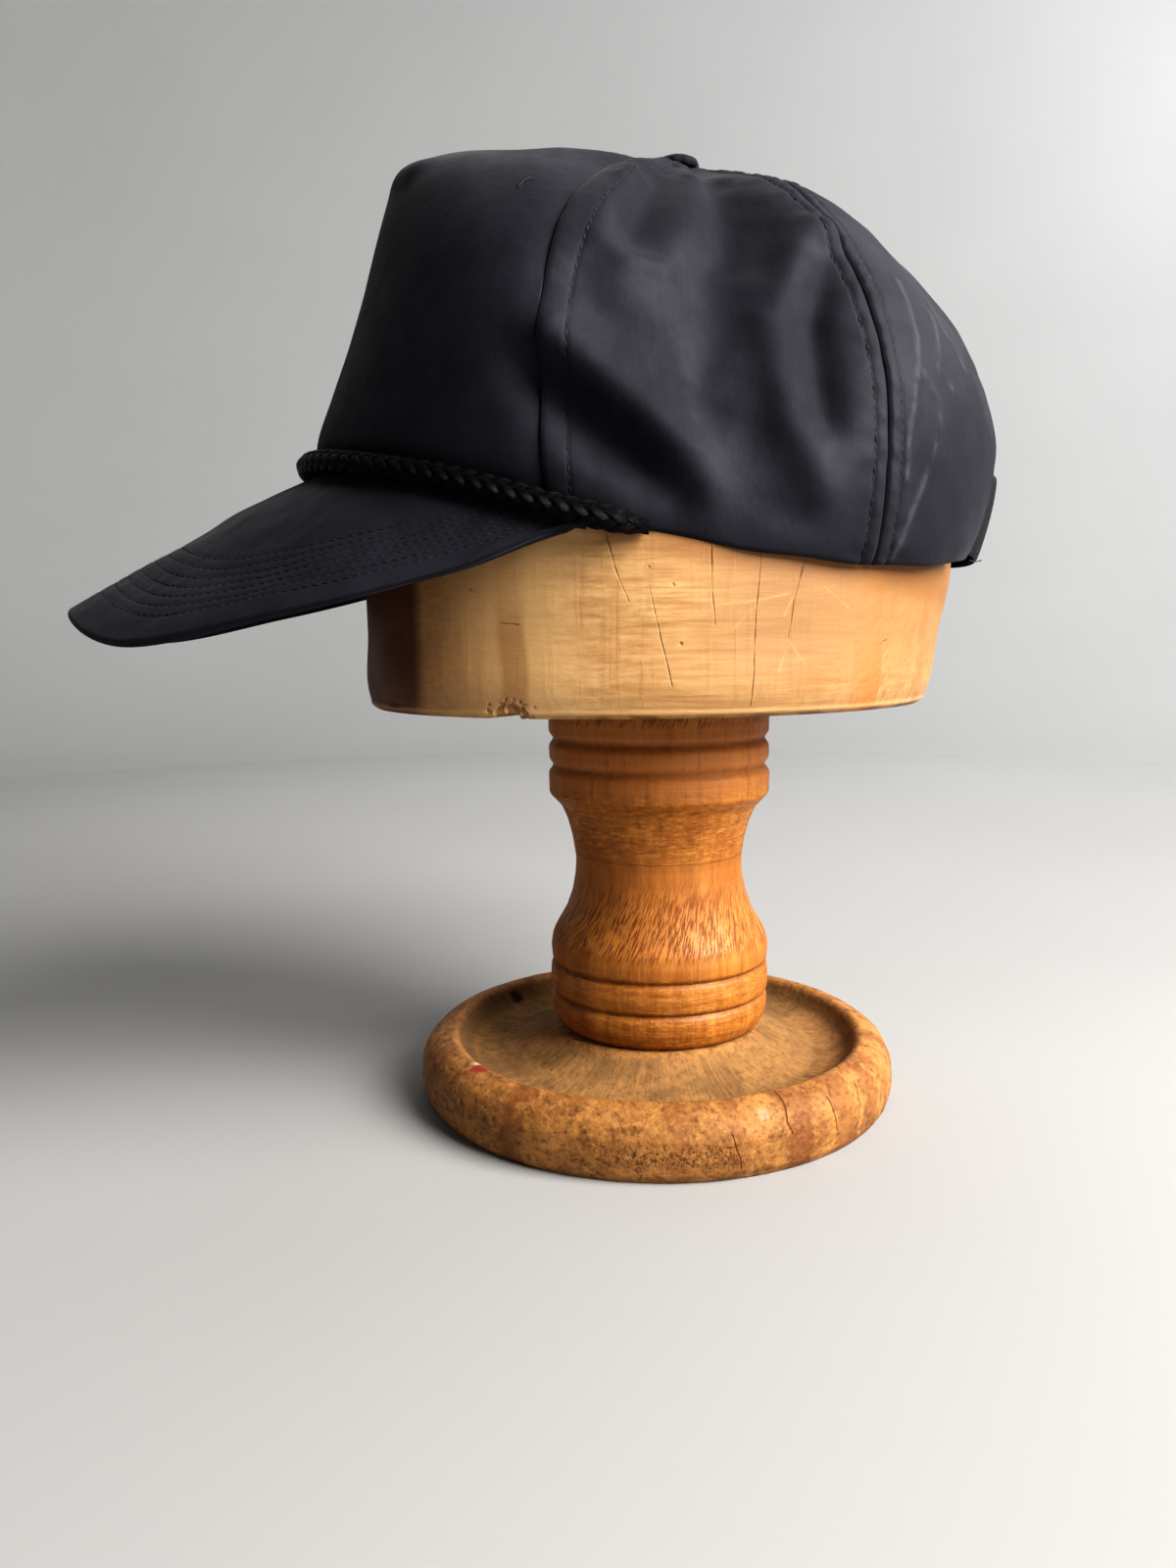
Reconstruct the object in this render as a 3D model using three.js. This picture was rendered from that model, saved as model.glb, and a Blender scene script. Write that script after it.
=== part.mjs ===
// Cloth five-panel cap with a corded front, resting on a turned wooden hat stand.
// Millimetres, +Z up, peak toward -Y, wearer's left side toward +X.
// The origin is the centre of the stand's flat underside.
import * as THREE from 'three';

// Fit gap between neighbouring pieces and the cloth thickness
const GAP = 0.3;
const CLOTH = 1.6;

// Crown: an oval rim that closes to an apex, lengths measured from the apex axis
const APEX_Y = 11.3;
const APEX_Z = 307.5;
const RIM_FRONT = 119;
const RIM_BACK = 96;
const RIM_SIDE = 84.5;
const APEX_S = 0.972;

// Height over the rim, as s, within which the folds die out
const FOLD_FADE_S = 0.08;

// Seams, degrees round from the front
const FRONT_SEAM = 48.5;
const BACK_SEAM = 109.8;

// Half-moon opening at the back and the strap that bridges it, bowed out across the opening
const MOON_HALF_DEG = 41;
const MOON_TOP_S = 0.25;
const MOON_ROUNDNESS = 1.4;
const STRAP_HALF_DEG = 47;
const STRAP_LOW_S = 0.012;
const STRAP_HIGH_S = 0.125;
const STRAP_THICK = 1.4;
const STRAP_INSET = 1.25;
const STRAP_BOW = 4;

// Peak
const PEAK_HALF_DEG = 57;
const PEAK_HALF_WIDTH = 73.5;
const PEAK_TIP_Y = -184.6;
const PEAK_ROUNDNESS = 2.1;
const PEAK_THICK = 3.2;
const PEAK_BULGE = 1.2;
const PEAK_SPREAD = 0.965;
const PEAK_CLEAR = 0.6;

// Cord across the front
const CORD_RADIUS = 4;
const CORD_HALF_DEG = 63;
const CORD_LIFT = 5.8;
const CORD_CLEAR = 0.45;

// Covered button on top
const BUTTON_RADIUS = 7.2;
const BUTTON_HEIGHT = 4.6;

// Crown section by angle from the front: squareness of the section, inward lean,
// outward belly and fall of the top toward the shoulder
const SECTIONS = [
  { deg: 0, square: 11, lean: 0.18, belly: -1, fall: 4.2 },
  { deg: 46, square: 3.65, lean: 0.14, belly: 9.7, fall: 15 },
  { deg: 77, square: 1.76, lean: 0.05, belly: 4, fall: 0 },
  { deg: 107, square: 2.09, lean: 0, belly: 9.1, fall: 0 },
  { deg: 145, square: 1.94, lean: 0, belly: 12, fall: 0 },
  { deg: 180, square: 2.05, lean: 0, belly: 14.5, fall: 0 },
];

// Height of the crown's lower edge by angle from the front
const RIM = [
  { deg: 0, z: 207 },
  { deg: 30, z: 201 },
  { deg: 55, z: 189.5 },
  { deg: 65, z: 186.3 },
  { deg: 84, z: 180.7 },
  { deg: 107, z: 177 },
  { deg: 124, z: 177.9 },
  { deg: 138, z: 180.1 },
  { deg: 180, z: 182 },
];

// Height of the peak's outer edge by angle from the tip
const PEAK_EDGE = [
  { deg: 0, z: 167.5 },
  { deg: 30, z: 158 },
  { deg: 55, z: 163.5 },
  { deg: 75, z: 175 },
  { deg: 90, z: 189.2 },
];

// Soft folds in the cloth: path through (deg, s) points, half width and height in mm
const FOLDS = [
  { path: [[50, 0.235], [59, 0.185], [68, 0.13], [72, 0.065]], width: 8, height: 4.5 },
  { path: [[48, 0.185], [54, 0.143], [62, 0.103], [69, 0.06]], width: 8, height: -4.5 },
  { path: [[63, 0.69], [60, 0.465], [62, 0.367]], width: 9, height: -4 },
  { path: [[73, 0.7], [71, 0.545], [68, 0.383]], width: 9, height: 2 },
  { path: [[54, 0.333], [58, 0.29], [66, 0.255]], width: 8, height: -2 },
  { path: [[75, 0.503], [75, 0.343], [74, 0.19]], width: 8, height: -2.5 },
  { path: [[88, 0.525], [84, 0.365], [80, 0.23]], width: 9, height: 2.2 },
  { path: [[105, 0.497], [90, 0.338], [91, 0.188], [96, 0.1]], width: 7, height: 3 },
  { path: [[104, 0.458], [97, 0.348], [96, 0.253], [97, 0.19]], width: 6, height: -3 },
  { path: [[92, 0.8], [118, 0.8], [145, 0.79]], width: 14, height: -2 },
  { path: [[-12, 0.485], [0, 0.49], [12, 0.485]], width: 7, height: 2 },
  { path: [[-52, 0.27], [-62, 0.2], [-72, 0.12]], width: 9, height: 4 },
  { path: [[-50, 0.19], [-60, 0.135], [-70, 0.1]], width: 8, height: -2.6 },
  { path: [[-70, 0.62], [-68, 0.5], [-66, 0.4]], width: 10, height: -4 },
  { path: [[-86, 0.5], [-82, 0.36], [-79, 0.22]], width: 8, height: -2.5 },
  { path: [[-98, 0.45], [-93, 0.32], [-92, 0.17]], width: 8, height: 2.5 },
];

// Wooden block: oval sections with half length, half width and centre along Y
const BLOCK = [
  { z: 135.5, length: 94, width: 76, y: -2.5 },
  { z: 137.2, length: 96.2, width: 78.2, y: -2.5 },
  { z: 140, length: 97.2, width: 79.2, y: -2.4 },
  { z: 160, length: 98.8, width: 80.4, y: -1 },
  { z: 176, length: 100, width: 81, y: 0 },
  { z: 190, length: 100, width: 81, y: 0 },
  { z: 202, length: 98, width: 78.5, y: 0 },
  { z: 217, length: 92, width: 72.5, y: 0 },
  { z: 230, length: 83, width: 64, y: 0 },
  { z: 241, length: 69, width: 51, y: 0 },
  { z: 247.5, length: 50, width: 35, y: 0 },
  { z: 250, length: 24, width: 16, y: 0 },
];

// Turned column from foot to top: radius and height, beads parted by V grooves
const COLUMN = [
  [33.8, 23.3], [35.6, 25], [37.2, 28.5], [37.7, 32], [37.3, 34.4], [36, 35.4], [37.5, 36.4],
  [37.9, 40.5], [37.4, 44.9], [36, 45.9], [37.4, 47], [37.7, 51], [37, 55], [34.7, 59.4],
  [32, 64.3], [30.1, 69.6], [28.9, 76], [28.6, 81], [29.5, 88], [31.4, 95.2], [33.7, 100.5],
  [37.9, 104.8], [37.9, 112], [36, 114.3], [37.7, 116.6], [37.7, 121], [36, 123.4], [37.7, 125.4],
  [37.7, 135.2],
];

// Turned base with a rounded rim and a dished top: radius and height
const BASE = [
  [79, 0], [81, 2.6], [82, 8], [81.6, 13.5], [79.6, 17.8], [76, 20.6], [71.5, 21.9], [69.6, 21],
  [68, 18.4], [66, 16.2], [62, 14.6], [56, 14.3], [48, 16.2], [40, 20], [35.5, 23],
];

const CLOTH_LOOK = { color: 0x191a20, roughness: 0.88, metalness: 0 };
const CORD_LOOK = { color: 0x0e0e12, roughness: 0.55, metalness: 0 };
const STRAP_LOOK = { color: 0x131419, roughness: 0.5, metalness: 0 };
const BLOCK_LOOK = { color: 0xc39a63, roughness: 0.5, metalness: 0 };
const COLUMN_LOOK = { color: 0xb06d37, roughness: 0.48, metalness: 0 };
const BASE_LOOK = { color: 0x84593a, roughness: 0.55, metalness: 0 };

const rad = (deg) => (deg * Math.PI) / 180;

// Smooth curve through the rows of a table, level at both ends, same on both sides
function along(table, key, signedDeg) {
  const deg = Math.abs(signedDeg);
  const last = table.length - 1;
  const slope = (i) => {
    if (i === 0 || i === last) return 0;
    return (table[i + 1][key] - table[i - 1][key]) / (table[i + 1].deg - table[i - 1].deg);
  };
  let i = 0;
  while (i < last - 1 && deg >= table[i + 1].deg) i += 1;
  const h = table[i + 1].deg - table[i].deg;
  const t = (deg - table[i].deg) / h;
  const u = 1 - t;
  const start = table[i][key] * (1 + 2 * t) * u * u + slope(i) * h * t * u * u;
  const end = table[i + 1][key] * t * t * (3 - 2 * t) - slope(i + 1) * h * t * t * u;
  return start + end;
}

// Radius of the oval rim about the apex axis
function rimRadius(deg) {
  const length = Math.abs(deg) < 90 ? RIM_FRONT : RIM_BACK;
  return 1 / Math.hypot(Math.sin(rad(deg)) / RIM_SIDE, Math.cos(rad(deg)) / length);
}

// Smooth crown without folds; s runs from the rim (0) to the apex (1)
function crownBase(deg, s) {
  const n = along(SECTIONS, 'square', deg);
  const c = Math.cos((s * Math.PI) / 2);
  const q = Math.sin((s * Math.PI) / 2);
  const d = (c ** n + q ** n) ** (1 / n);
  const across = c / d;
  const up = q / d;
  const low = along(RIM, 'z', deg);
  const belly = along(SECTIONS, 'belly', deg) * Math.sin(Math.PI * up) * Math.sqrt(across);
  const r = rimRadius(deg) * across * (1 - along(SECTIONS, 'lean', deg) * up) + belly;
  const z = low + (APEX_Z - low) * up - along(SECTIONS, 'fall', deg) * across * up ** 4;
  return new THREE.Vector3(r * Math.sin(rad(deg)), APEX_Y - r * Math.cos(rad(deg)), z);
}

function crownNormal(deg, s) {
  const round = crownBase(deg + 0.5, s).sub(crownBase(deg - 0.5, s));
  const rise = crownBase(deg, s + 0.004).sub(crownBase(deg, s - 0.004 * Math.sign(s)));
  return round.cross(rise).normalize();
}

const foldPaths = FOLDS.map((fold) => ({
  points: fold.path.map(([deg, s]) => crownBase(deg, s)),
  width: fold.width,
  height: fold.height,
}));

// Height of all folds at a point, fading to nothing at the rim
function foldHeight(point, s) {
  const nearest = new THREE.Vector3();
  let total = 0;
  for (const fold of foldPaths) {
    let distance = Infinity;
    for (let k = 0; k < fold.points.length - 1; k += 1) {
      const piece = new THREE.Line3(fold.points[k], fold.points[k + 1]);
      piece.closestPointToPoint(point, true, nearest);
      distance = Math.min(distance, nearest.distanceTo(point));
    }
    total += fold.height * Math.exp(-((distance / fold.width) ** 2));
  }
  return total * Math.min(1, s / FOLD_FADE_S);
}

// Folded crown surface, pushed inward by a depth along its normal
function crown(deg, s, depth = 0) {
  const point = crownBase(deg, s);
  const push = foldHeight(point, s) - depth;
  return point.addScaledVector(crownNormal(deg, s), push);
}

// Turns the faces outward if the enclosed volume comes out negative
function outward(geometry) {
  const p = geometry.attributes.position;
  const index = geometry.index.array;
  let volume = 0;
  for (let k = 0; k < index.length; k += 3) {
    const a = new THREE.Vector3().fromBufferAttribute(p, index[k]);
    const b = new THREE.Vector3().fromBufferAttribute(p, index[k + 1]);
    const c = new THREE.Vector3().fromBufferAttribute(p, index[k + 2]);
    volume += a.dot(b.cross(c));
  }
  if (volume < 0) {
    for (let k = 0; k < index.length; k += 3) {
      const swap = index[k + 1];
      index[k + 1] = index[k + 2];
      index[k + 2] = swap;
    }
  }
  return geometry;
}

function solid(points, faces) {
  const geometry = new THREE.BufferGeometry();
  const flat = points.flatMap((p) => [p.x, p.y, p.z]);
  geometry.setAttribute('position', new THREE.Float32BufferAttribute(flat, 3));
  geometry.setIndex(faces);
  outward(geometry);
  geometry.computeVertexNormals();
  return geometry;
}

// Closed sheet between an upper and a lower surface over the same grid
function sheet(columns, rows, upper, lower) {
  const points = [];
  const faces = [];
  const layer = (columns + 1) * (rows + 1);
  for (const surface of [upper, lower]) {
    for (let i = 0; i <= columns; i += 1) {
      for (let j = 0; j <= rows; j += 1) points.push(surface(i / columns, j / rows));
    }
  }
  const at = (i, j, side) => side * layer + i * (rows + 1) + j;
  const quad = (a, b, c, d) => faces.push(a, b, c, a, c, d);
  for (let i = 0; i < columns; i += 1) {
    for (let j = 0; j < rows; j += 1) {
      quad(at(i, j, 0), at(i + 1, j, 0), at(i + 1, j + 1, 0), at(i, j + 1, 0));
      quad(at(i, j, 1), at(i, j + 1, 1), at(i + 1, j + 1, 1), at(i + 1, j, 1));
    }
  }
  for (let i = 0; i < columns; i += 1) {
    quad(at(i, 0, 0), at(i, 0, 1), at(i + 1, 0, 1), at(i + 1, 0, 0));
    quad(at(i, rows, 0), at(i + 1, rows, 0), at(i + 1, rows, 1), at(i, rows, 1));
  }
  for (let j = 0; j < rows; j += 1) {
    quad(at(0, j, 0), at(0, j + 1, 0), at(0, j + 1, 1), at(0, j, 1));
    quad(at(columns, j, 0), at(columns, j, 1), at(columns, j + 1, 1), at(columns, j + 1, 0));
  }
  return solid(points, faces);
}

// Stack of rings closed at both ends
function stack(rings) {
  const n = rings[0].length;
  const points = rings.flat();
  const faces = [];
  for (let k = 0; k < rings.length - 1; k += 1) {
    for (let i = 0; i < n; i += 1) {
      const a = k * n + i;
      const b = k * n + ((i + 1) % n);
      faces.push(a, b, b + n, a, b + n, a + n);
    }
  }
  const top = (rings.length - 1) * n;
  for (let i = 1; i < n - 1; i += 1) {
    faces.push(0, i + 1, i, top, top + i, top + i + 1);
  }
  return solid(points, faces);
}

// Turned body about the vertical axis from a radius and height profile
function turned(profile, segments) {
  const ring = ([r, z]) => Array.from({ length: segments }, (_, i) => {
    const a = (2 * Math.PI * i) / segments;
    return new THREE.Vector3(r * Math.cos(a), r * Math.sin(a), z);
  });
  return stack(profile.map(ring));
}

// Lower edge of the crown, raised into the half-moon at the back
function lowEdge(deg) {
  const away = (180 - Math.abs(deg)) / MOON_HALF_DEG;
  if (away >= 1) return 0;
  return MOON_TOP_S * (1 - away ** MOON_ROUNDNESS) ** (1 / MOON_ROUNDNESS);
}

// One crown panel between two seams, kept half a gap clear of each
function panel(fromDeg, toDeg, columns, rows) {
  const place = (u, v, depth) => {
    const middle = fromDeg + (toDeg - fromDeg) * u;
    const low = lowEdge(middle);
    const s = low + (APEX_S - low) * v;
    const point = crownBase(middle, s);
    const r = Math.hypot(point.x, point.y - APEX_Y);
    const inset = (Math.asin(Math.min(0.5, (GAP * 0.55) / r)) * 180) / Math.PI;
    return crown(middle + inset * (1 - 2 * u), s, depth);
  };
  return sheet(columns, rows, (u, v) => place(u, v, 0), (u, v) => place(u, v, CLOTH));
}

// Upper face of the peak: u across from -1 to 1, v from the rim to the outer edge
function peakTop(u, v) {
  const rimPoint = (deg) => {
    const r = rimRadius(deg) + PEAK_CLEAR;
    const z = along(RIM, 'z', deg) + PEAK_CLEAR;
    return new THREE.Vector3(r * Math.sin(rad(deg)), APEX_Y - r * Math.cos(rad(deg)), z);
  };
  const root = rimPoint(PEAK_HALF_DEG * u);
  const corner = rimPoint(PEAK_HALF_DEG);
  const sideways = Math.sin(rad(90 * u));
  const forward = Math.max(0, Math.cos(rad(90 * u))) ** (2 / PEAK_ROUNDNESS);
  const swell = (PEAK_HALF_WIDTH - corner.x) * Math.sin(Math.PI * forward);
  const x = (corner.x + swell) * Math.sign(sideways) * Math.abs(sideways) ** (2 / PEAK_ROUNDNESS);
  const y = corner.y + (PEAK_TIP_Y - corner.y) * forward;
  const edge = new THREE.Vector3(x, y, along(PEAK_EDGE, 'z', 90 * u));
  const point = root.lerp(edge, v);
  point.z += PEAK_BULGE * Math.sin(Math.PI * v) * Math.cos(rad(90 * u));
  return point;
}

function peakUnder(u, v) {
  const across = peakTop(u + 0.004, v).sub(peakTop(u - 0.004, v));
  const ahead = peakTop(u, v + 0.01).sub(peakTop(u, v - 0.01));
  const normal = across.cross(ahead).normalize();
  const down = new THREE.Vector3(0, 0, -1).lerp(normal, Math.min(1, 3 * v)).normalize();
  return peakTop(u, v).addScaledVector(down, PEAK_THICK);
}

function peakGeometry() {
  const spread = (u) => PEAK_SPREAD * Math.sin(rad(80 * (2 * u - 1))) / Math.sin(rad(80));
  return sheet(28, 7, (u, v) => peakTop(spread(u), v), (u, v) => peakUnder(spread(u), v));
}

// Cord laid along the front of the crown just above the peak
function cordGeometry() {
  const points = [];
  for (let k = 0; k <= 24; k += 1) {
    const deg = CORD_HALF_DEG * (k / 12 - 1);
    const low = along(RIM, 'z', deg);
    const s = (Math.atan(CORD_LIFT / (APEX_Z - low)) * 2) / Math.PI;
    const out = crownNormal(deg, s).setZ(0).normalize();
    points.push(crown(deg, s).addScaledVector(out, CORD_RADIUS + CORD_CLEAR));
  }
  const round = new THREE.Shape().absarc(0, 0, CORD_RADIUS, 0, 2 * Math.PI);
  return new THREE.ExtrudeGeometry(round, {
    extrudePath: new THREE.CatmullRomCurve3(points),
    steps: 44,
    curveSegments: 5,
    bevelEnabled: false,
  });
}

// Strap behind the back panels, bowed out where the half-moon leaves it free
function strapGeometry() {
  const place = (u, v, depth) => {
    const deg = 180 + STRAP_HALF_DEG * (2 * u - 1);
    const s = STRAP_LOW_S + (STRAP_HIGH_S - STRAP_LOW_S) * v;
    const away = Math.min(1, (Math.abs(180 - deg) * 1.35) / MOON_HALF_DEG);
    const bow = STRAP_BOW * (1 - away * away) ** 2;
    return crown(deg > 180 ? deg - 360 : deg, s, depth - bow);
  };
  const front = CLOTH + STRAP_INSET;
  return sheet(26, 3, (u, v) => place(u, v, front), (u, v) => place(u, v, front + STRAP_THICK));
}

// Low dome over the apex
function buttonGeometry() {
  const profile = [];
  for (let k = 0; k <= 4; k += 1) {
    const a = rad(18 * k);
    profile.push([BUTTON_RADIUS * Math.cos(a), BUTTON_HEIGHT * (0.22 + 0.78 * Math.sin(a))]);
  }
  const geometry = turned([[BUTTON_RADIUS * 0.9, 0], ...profile], 20);
  geometry.translate(0, APEX_Y, APEX_Z + 0.1);
  return geometry;
}

function blockGeometry() {
  const segments = 40;
  const ring = (row) => Array.from({ length: segments }, (_, i) => {
    const a = (2 * Math.PI * i) / segments;
    return new THREE.Vector3(row.width * Math.cos(a), row.y + row.length * Math.sin(a), row.z);
  });
  return stack(BLOCK.map(ring));
}

const group = new THREE.Group();

function add(name, geometry, look) {
  const mesh = new THREE.Mesh(geometry, new THREE.MeshStandardMaterial(look));
  mesh.name = name;
  group.add(mesh);
}

add('front_panel', panel(-FRONT_SEAM, FRONT_SEAM, 24, 14), CLOTH_LOOK);
add('side_panel_left', panel(FRONT_SEAM, BACK_SEAM, 16, 17), CLOTH_LOOK);
add('side_panel_right', panel(-BACK_SEAM, -FRONT_SEAM, 16, 17), CLOTH_LOOK);
add('back_panel_left', panel(BACK_SEAM, 180, 15, 13), CLOTH_LOOK);
add('back_panel_right', panel(-180, -BACK_SEAM, 15, 13), CLOTH_LOOK);
add('top_button', buttonGeometry(), CLOTH_LOOK);
add('peak', peakGeometry(), CLOTH_LOOK);
add('front_cord', cordGeometry(), CORD_LOOK);
add('back_strap', strapGeometry(), STRAP_LOOK);
add('hat_block', blockGeometry(), BLOCK_LOOK);
add('stand_column', turned(COLUMN, 28), COLUMN_LOOK);
add('stand_base', turned(BASE, 36), BASE_LOOK);

export default group;
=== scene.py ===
"""Looks for a cloth cap with a corded front that rests on a turned wooden hat stand.

Lengths are millimetres in the tables and functions, and metres in the meshes.
"""
import math

import bpy
import numpy as np
from mathutils import Matrix, Vector


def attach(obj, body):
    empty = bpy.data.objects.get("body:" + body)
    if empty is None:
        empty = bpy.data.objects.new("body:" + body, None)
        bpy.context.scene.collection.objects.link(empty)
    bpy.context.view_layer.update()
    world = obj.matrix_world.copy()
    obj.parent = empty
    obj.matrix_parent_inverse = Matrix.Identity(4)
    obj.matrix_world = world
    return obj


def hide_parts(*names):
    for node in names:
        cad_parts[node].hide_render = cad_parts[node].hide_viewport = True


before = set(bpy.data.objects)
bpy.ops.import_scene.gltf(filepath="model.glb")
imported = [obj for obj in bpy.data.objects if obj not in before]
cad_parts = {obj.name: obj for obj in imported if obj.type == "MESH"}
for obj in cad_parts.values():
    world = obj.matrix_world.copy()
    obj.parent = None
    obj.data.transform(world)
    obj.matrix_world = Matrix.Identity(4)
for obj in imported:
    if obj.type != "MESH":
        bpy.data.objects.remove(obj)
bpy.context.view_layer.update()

MM = 0.001

# Crown: an oval rim that closes to an apex; angles in degrees round from the front
APEX_Y, APEX_Z, APEX_S = 11.3, 307.5, 0.972
RIM_FRONT, RIM_BACK, RIM_SIDE = 119.0, 96.0, 84.5
FRONT_SEAM, BACK_SEAM = 48.5, 109.8
CLOTH = 1.6
STATION_DEG = (0, 46, 77, 107, 145, 180)
SQUARE = (11, 3.65, 1.76, 2.06, 1.8, 1.91)
LEAN = (0.18, 0.14, 0.05, 0, 0, 0)
BELLY = (-1, 9.7, 4, 9.2, 13.8, 16.2)
FALL = (4.2, 15, 0, 0, 0, 0)
FRONT_UP = (0, 0.1, 0.25, 0.42, 0.6, 0.8, 1)
FRONT_SHIFT = (0, 4, 2.4, 0.2, -1.6, -2.4, -1.6)
FRONT_SPREAD_DEG = 34
RIM_DEG = (0, 30, 55, 65, 84, 107, 124, 138, 180)
RIM_Z = (207, 201, 189.5, 186.3, 180.7, 177, 177.1, 178.7, 180.6)
FOLD_FADE_S, CREASE_AT_RIM = 0.08, 0.3
ROUND_STEP, RISE_STEP = 0.5, 0.004

# Soft folds: path through (deg, s) points, half width and height
FOLDS = (
    (((50, 0.235), (59, 0.185), (68, 0.13), (73, 0.065)), 8, 5),
    (((48, 0.185), (54, 0.143), (62, 0.103), (70, 0.058)), 8, -6),
    (((66, 0.75), (62, 0.56), (61.5, 0.46)), 9, -4),
    (((74, 0.74), (71.5, 0.6), (68.5, 0.45)), 9, 2.6),
    (((54, 0.333), (58, 0.29), (66, 0.255)), 8, -2),
    (((75, 0.43), (75, 0.32), (74, 0.19)), 9, -2.4),
    (((85, 0.4), (83, 0.33), (80, 0.22)), 9, 1.6),
    (((105, 0.497), (90, 0.338), (91, 0.188), (96, 0.1)), 7, 3),
    (((104, 0.458), (97, 0.348), (96, 0.253), (97, 0.19)), 6, -3),
    (((96, 0.86), (110, 0.77), (128, 0.72)), 13, -3),
    (((120, 0.67), (127, 0.625), (133, 0.58)), 9, 1.9),
    (((33, 0.64), (40, 0.72), (47, 0.82)), 9, 1.3),
    (((-12, 0.485), (0, 0.49), (12, 0.485)), 5, 1.7),
    (((-52, 0.27), (-62, 0.2), (-72, 0.12)), 9, 4),
    (((-50, 0.19), (-60, 0.135), (-70, 0.1)), 8, -2.6),
    (((-70, 0.62), (-68, 0.5), (-66, 0.4)), 10, -4),
    (((-86, 0.5), (-82, 0.36), (-79, 0.22)), 8, -2.5),
    (((-98, 0.45), (-93, 0.32), (-92, 0.17)), 8, 2.5),
)

# Press creases and small puckers, in the same columns as the folds
CREASES = (
    (((122, 0.427), (120, 0.325), (116, 0.242), (114, 0.17), (114, 0.118)), 1.7, 0.5),
    (((129, 0.383), (127, 0.325), (124, 0.28), (128, 0.253)), 1.5, 0.4),
    (((119, 0.268), (122, 0.228), (122, 0.193), (119, 0.13), (116, 0.072), (114, 0.015)), 1.8, 0.55),
    (((134, 0.45), (133, 0.36), (136, 0.3)), 1.6, 0.3),
    (((54, 0.82), (56, 0.7), (55, 0.58)), 3.4, 1.0),
    (((62, 0.88), (70, 0.8), (73, 0.72)), 3.2, 1.0),
    (((72, 0.92), (84, 0.84), (90, 0.74)), 3.4, 0.8),
    (((56, 0.6), (54.8, 0.467), (56, 0.404), (60.5, 0.384), (66, 0.392)), 5, 2.3),
    (((-121, 0.4), (-118, 0.28), (-114, 0.16)), 1.7, 0.45),
    (((-128, 0.36), (-125, 0.24), (-121, 0.1)), 1.8, 0.45),
    (((-55, 0.8), (-61, 0.7), (-63, 0.6)), 3.2, 0.9),
)
CREASE_WEAR = tuple((path, 0.55 * width, 1.0) for path, width, height in CREASES if width < 2)

# Half-moon opening at the back and the strap that bridges it
MOON_HALF_DEG, MOON_TOP_S, MOON_ROUNDNESS = 36, 0.25, 1.5
STRAP_HALF_DEG, STRAP_LOW_S, STRAP_HIGH_S = 47, 0.012, 0.15
STRAP_THICK, STRAP_INSET, STRAP_EDGE = 1.4, 1.25, 0.14
STRAP_BOW, STRAP_BOW_SHARE = 10.0, 1.35

# Peak
PEAK_HALF_DEG, PEAK_HALF_WIDTH, PEAK_TIP_Y = 57, 73.5, -184.6
PEAK_ROUNDNESS, PEAK_THICK, PEAK_BULGE, PEAK_SPREAD = 2.1, 3.2, 1.2, 0.965
PEAK_CLEAR = 0.6
PEAK_EDGE_DEG = (0, 30, 55, 75, 90)
PEAK_EDGE_Z = (167.5, 158.3, 165.5, 176.2, 189.2)
PEAK_ROWS = (12, 16.4, 20.8, 25.2, 29.6, 34, 38.4)
PEAK_ROW_END, PEAK_ROW_FADE, PEAK_ROW_DENT, PEAK_ROW_WIDTH = 5, 10, 0.2, 0.6
PEAK_ROW_WOBBLE, PEAK_ROW_WAVE, PEAK_ROW_SEED, PEAK_UNDER_DENT = 0.35, 30, 200, 0.25
PEAK_LIFT, PEAK_LIFT_AT, PEAK_LIFT_REACH = 1.7, 0.2, 0.26
# Distances of the first rows from the outer edge, the width of its rounding, and the length
# under which both shrink toward the peak's corners
PEAK_BRIM = np.array([0, 0.04, 0.15, 0.32, 0.55, 0.85, 1.2, 1.6, 2.1, 2.7])
PEAK_ROUND, PEAK_SHORT, PEAK_FAN_DEG = 1.5, 14, 80
PEAK_WAVES, PEAK_CALM = ((26, 0.16, 31), (9, 0.07, 32)), 6
# Steps round and ahead that its normals are taken over
PEAK_STEP_U, PEAK_STEP_V = 0.004, 0.01

# Cord across the front, and the covered button
CORD_RADIUS, CORD_HALF_DEG, CORD_CLEAR = 3.5, 62, 0.45
CORD_FRONT_LIFT, CORD_SIDE_LIFT, CORD_SIDE_DEG, CORD_STAND = 4.0, 1.2, 50, 0.4
CORD_END_DEG, CORD_TAIL_DEG, CORD_TAIL_IN, CORD_TAIL_DROP = 3.2, 9.2, 1.6, 0.5
CORD_STRANDS, CORD_PITCH, CORD_POINTS = 6, 29.0, 330
STRAND_SINK, STRAND_WEAVE, STRAND_WIDE, STRAND_THICK, STRAND_SIDES = 1.1, 0.5, 1.3, 0.75, 8
CORE_POINTS, CORE_SIDES = 200, 12
BUTTON_RADIUS, BUTTON_HEIGHT, BUTTON_Y, BUTTON_SINK = 7.2, 4.4, 8.1, 0.3
PLEATS, PLEAT_DEPTH, DOME_FROM_DEG, DOME_SPAN_DEG = 9, 0.035, -25, 112

# Wooden block: height, half length, half width and centre along Y
BLOCK = np.array((
    (135.5, 91.6, 76, -1.7), (136.4, 93, 77.6, -1.7), (138.5, 93.8, 78.6, -1.6),
    (160, 96.1, 80.4, 0.4), (176, 97.9, 81, 2.1), (190, 97.8, 81, 2.2), (202, 95.8, 78.5, 2),
    (217, 90.5, 72.5, 1.5), (230, 82, 64, 1), (241, 69, 51, 0), (247.5, 50, 35, 0), (250, 24, 16, 0),
), float)
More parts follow.
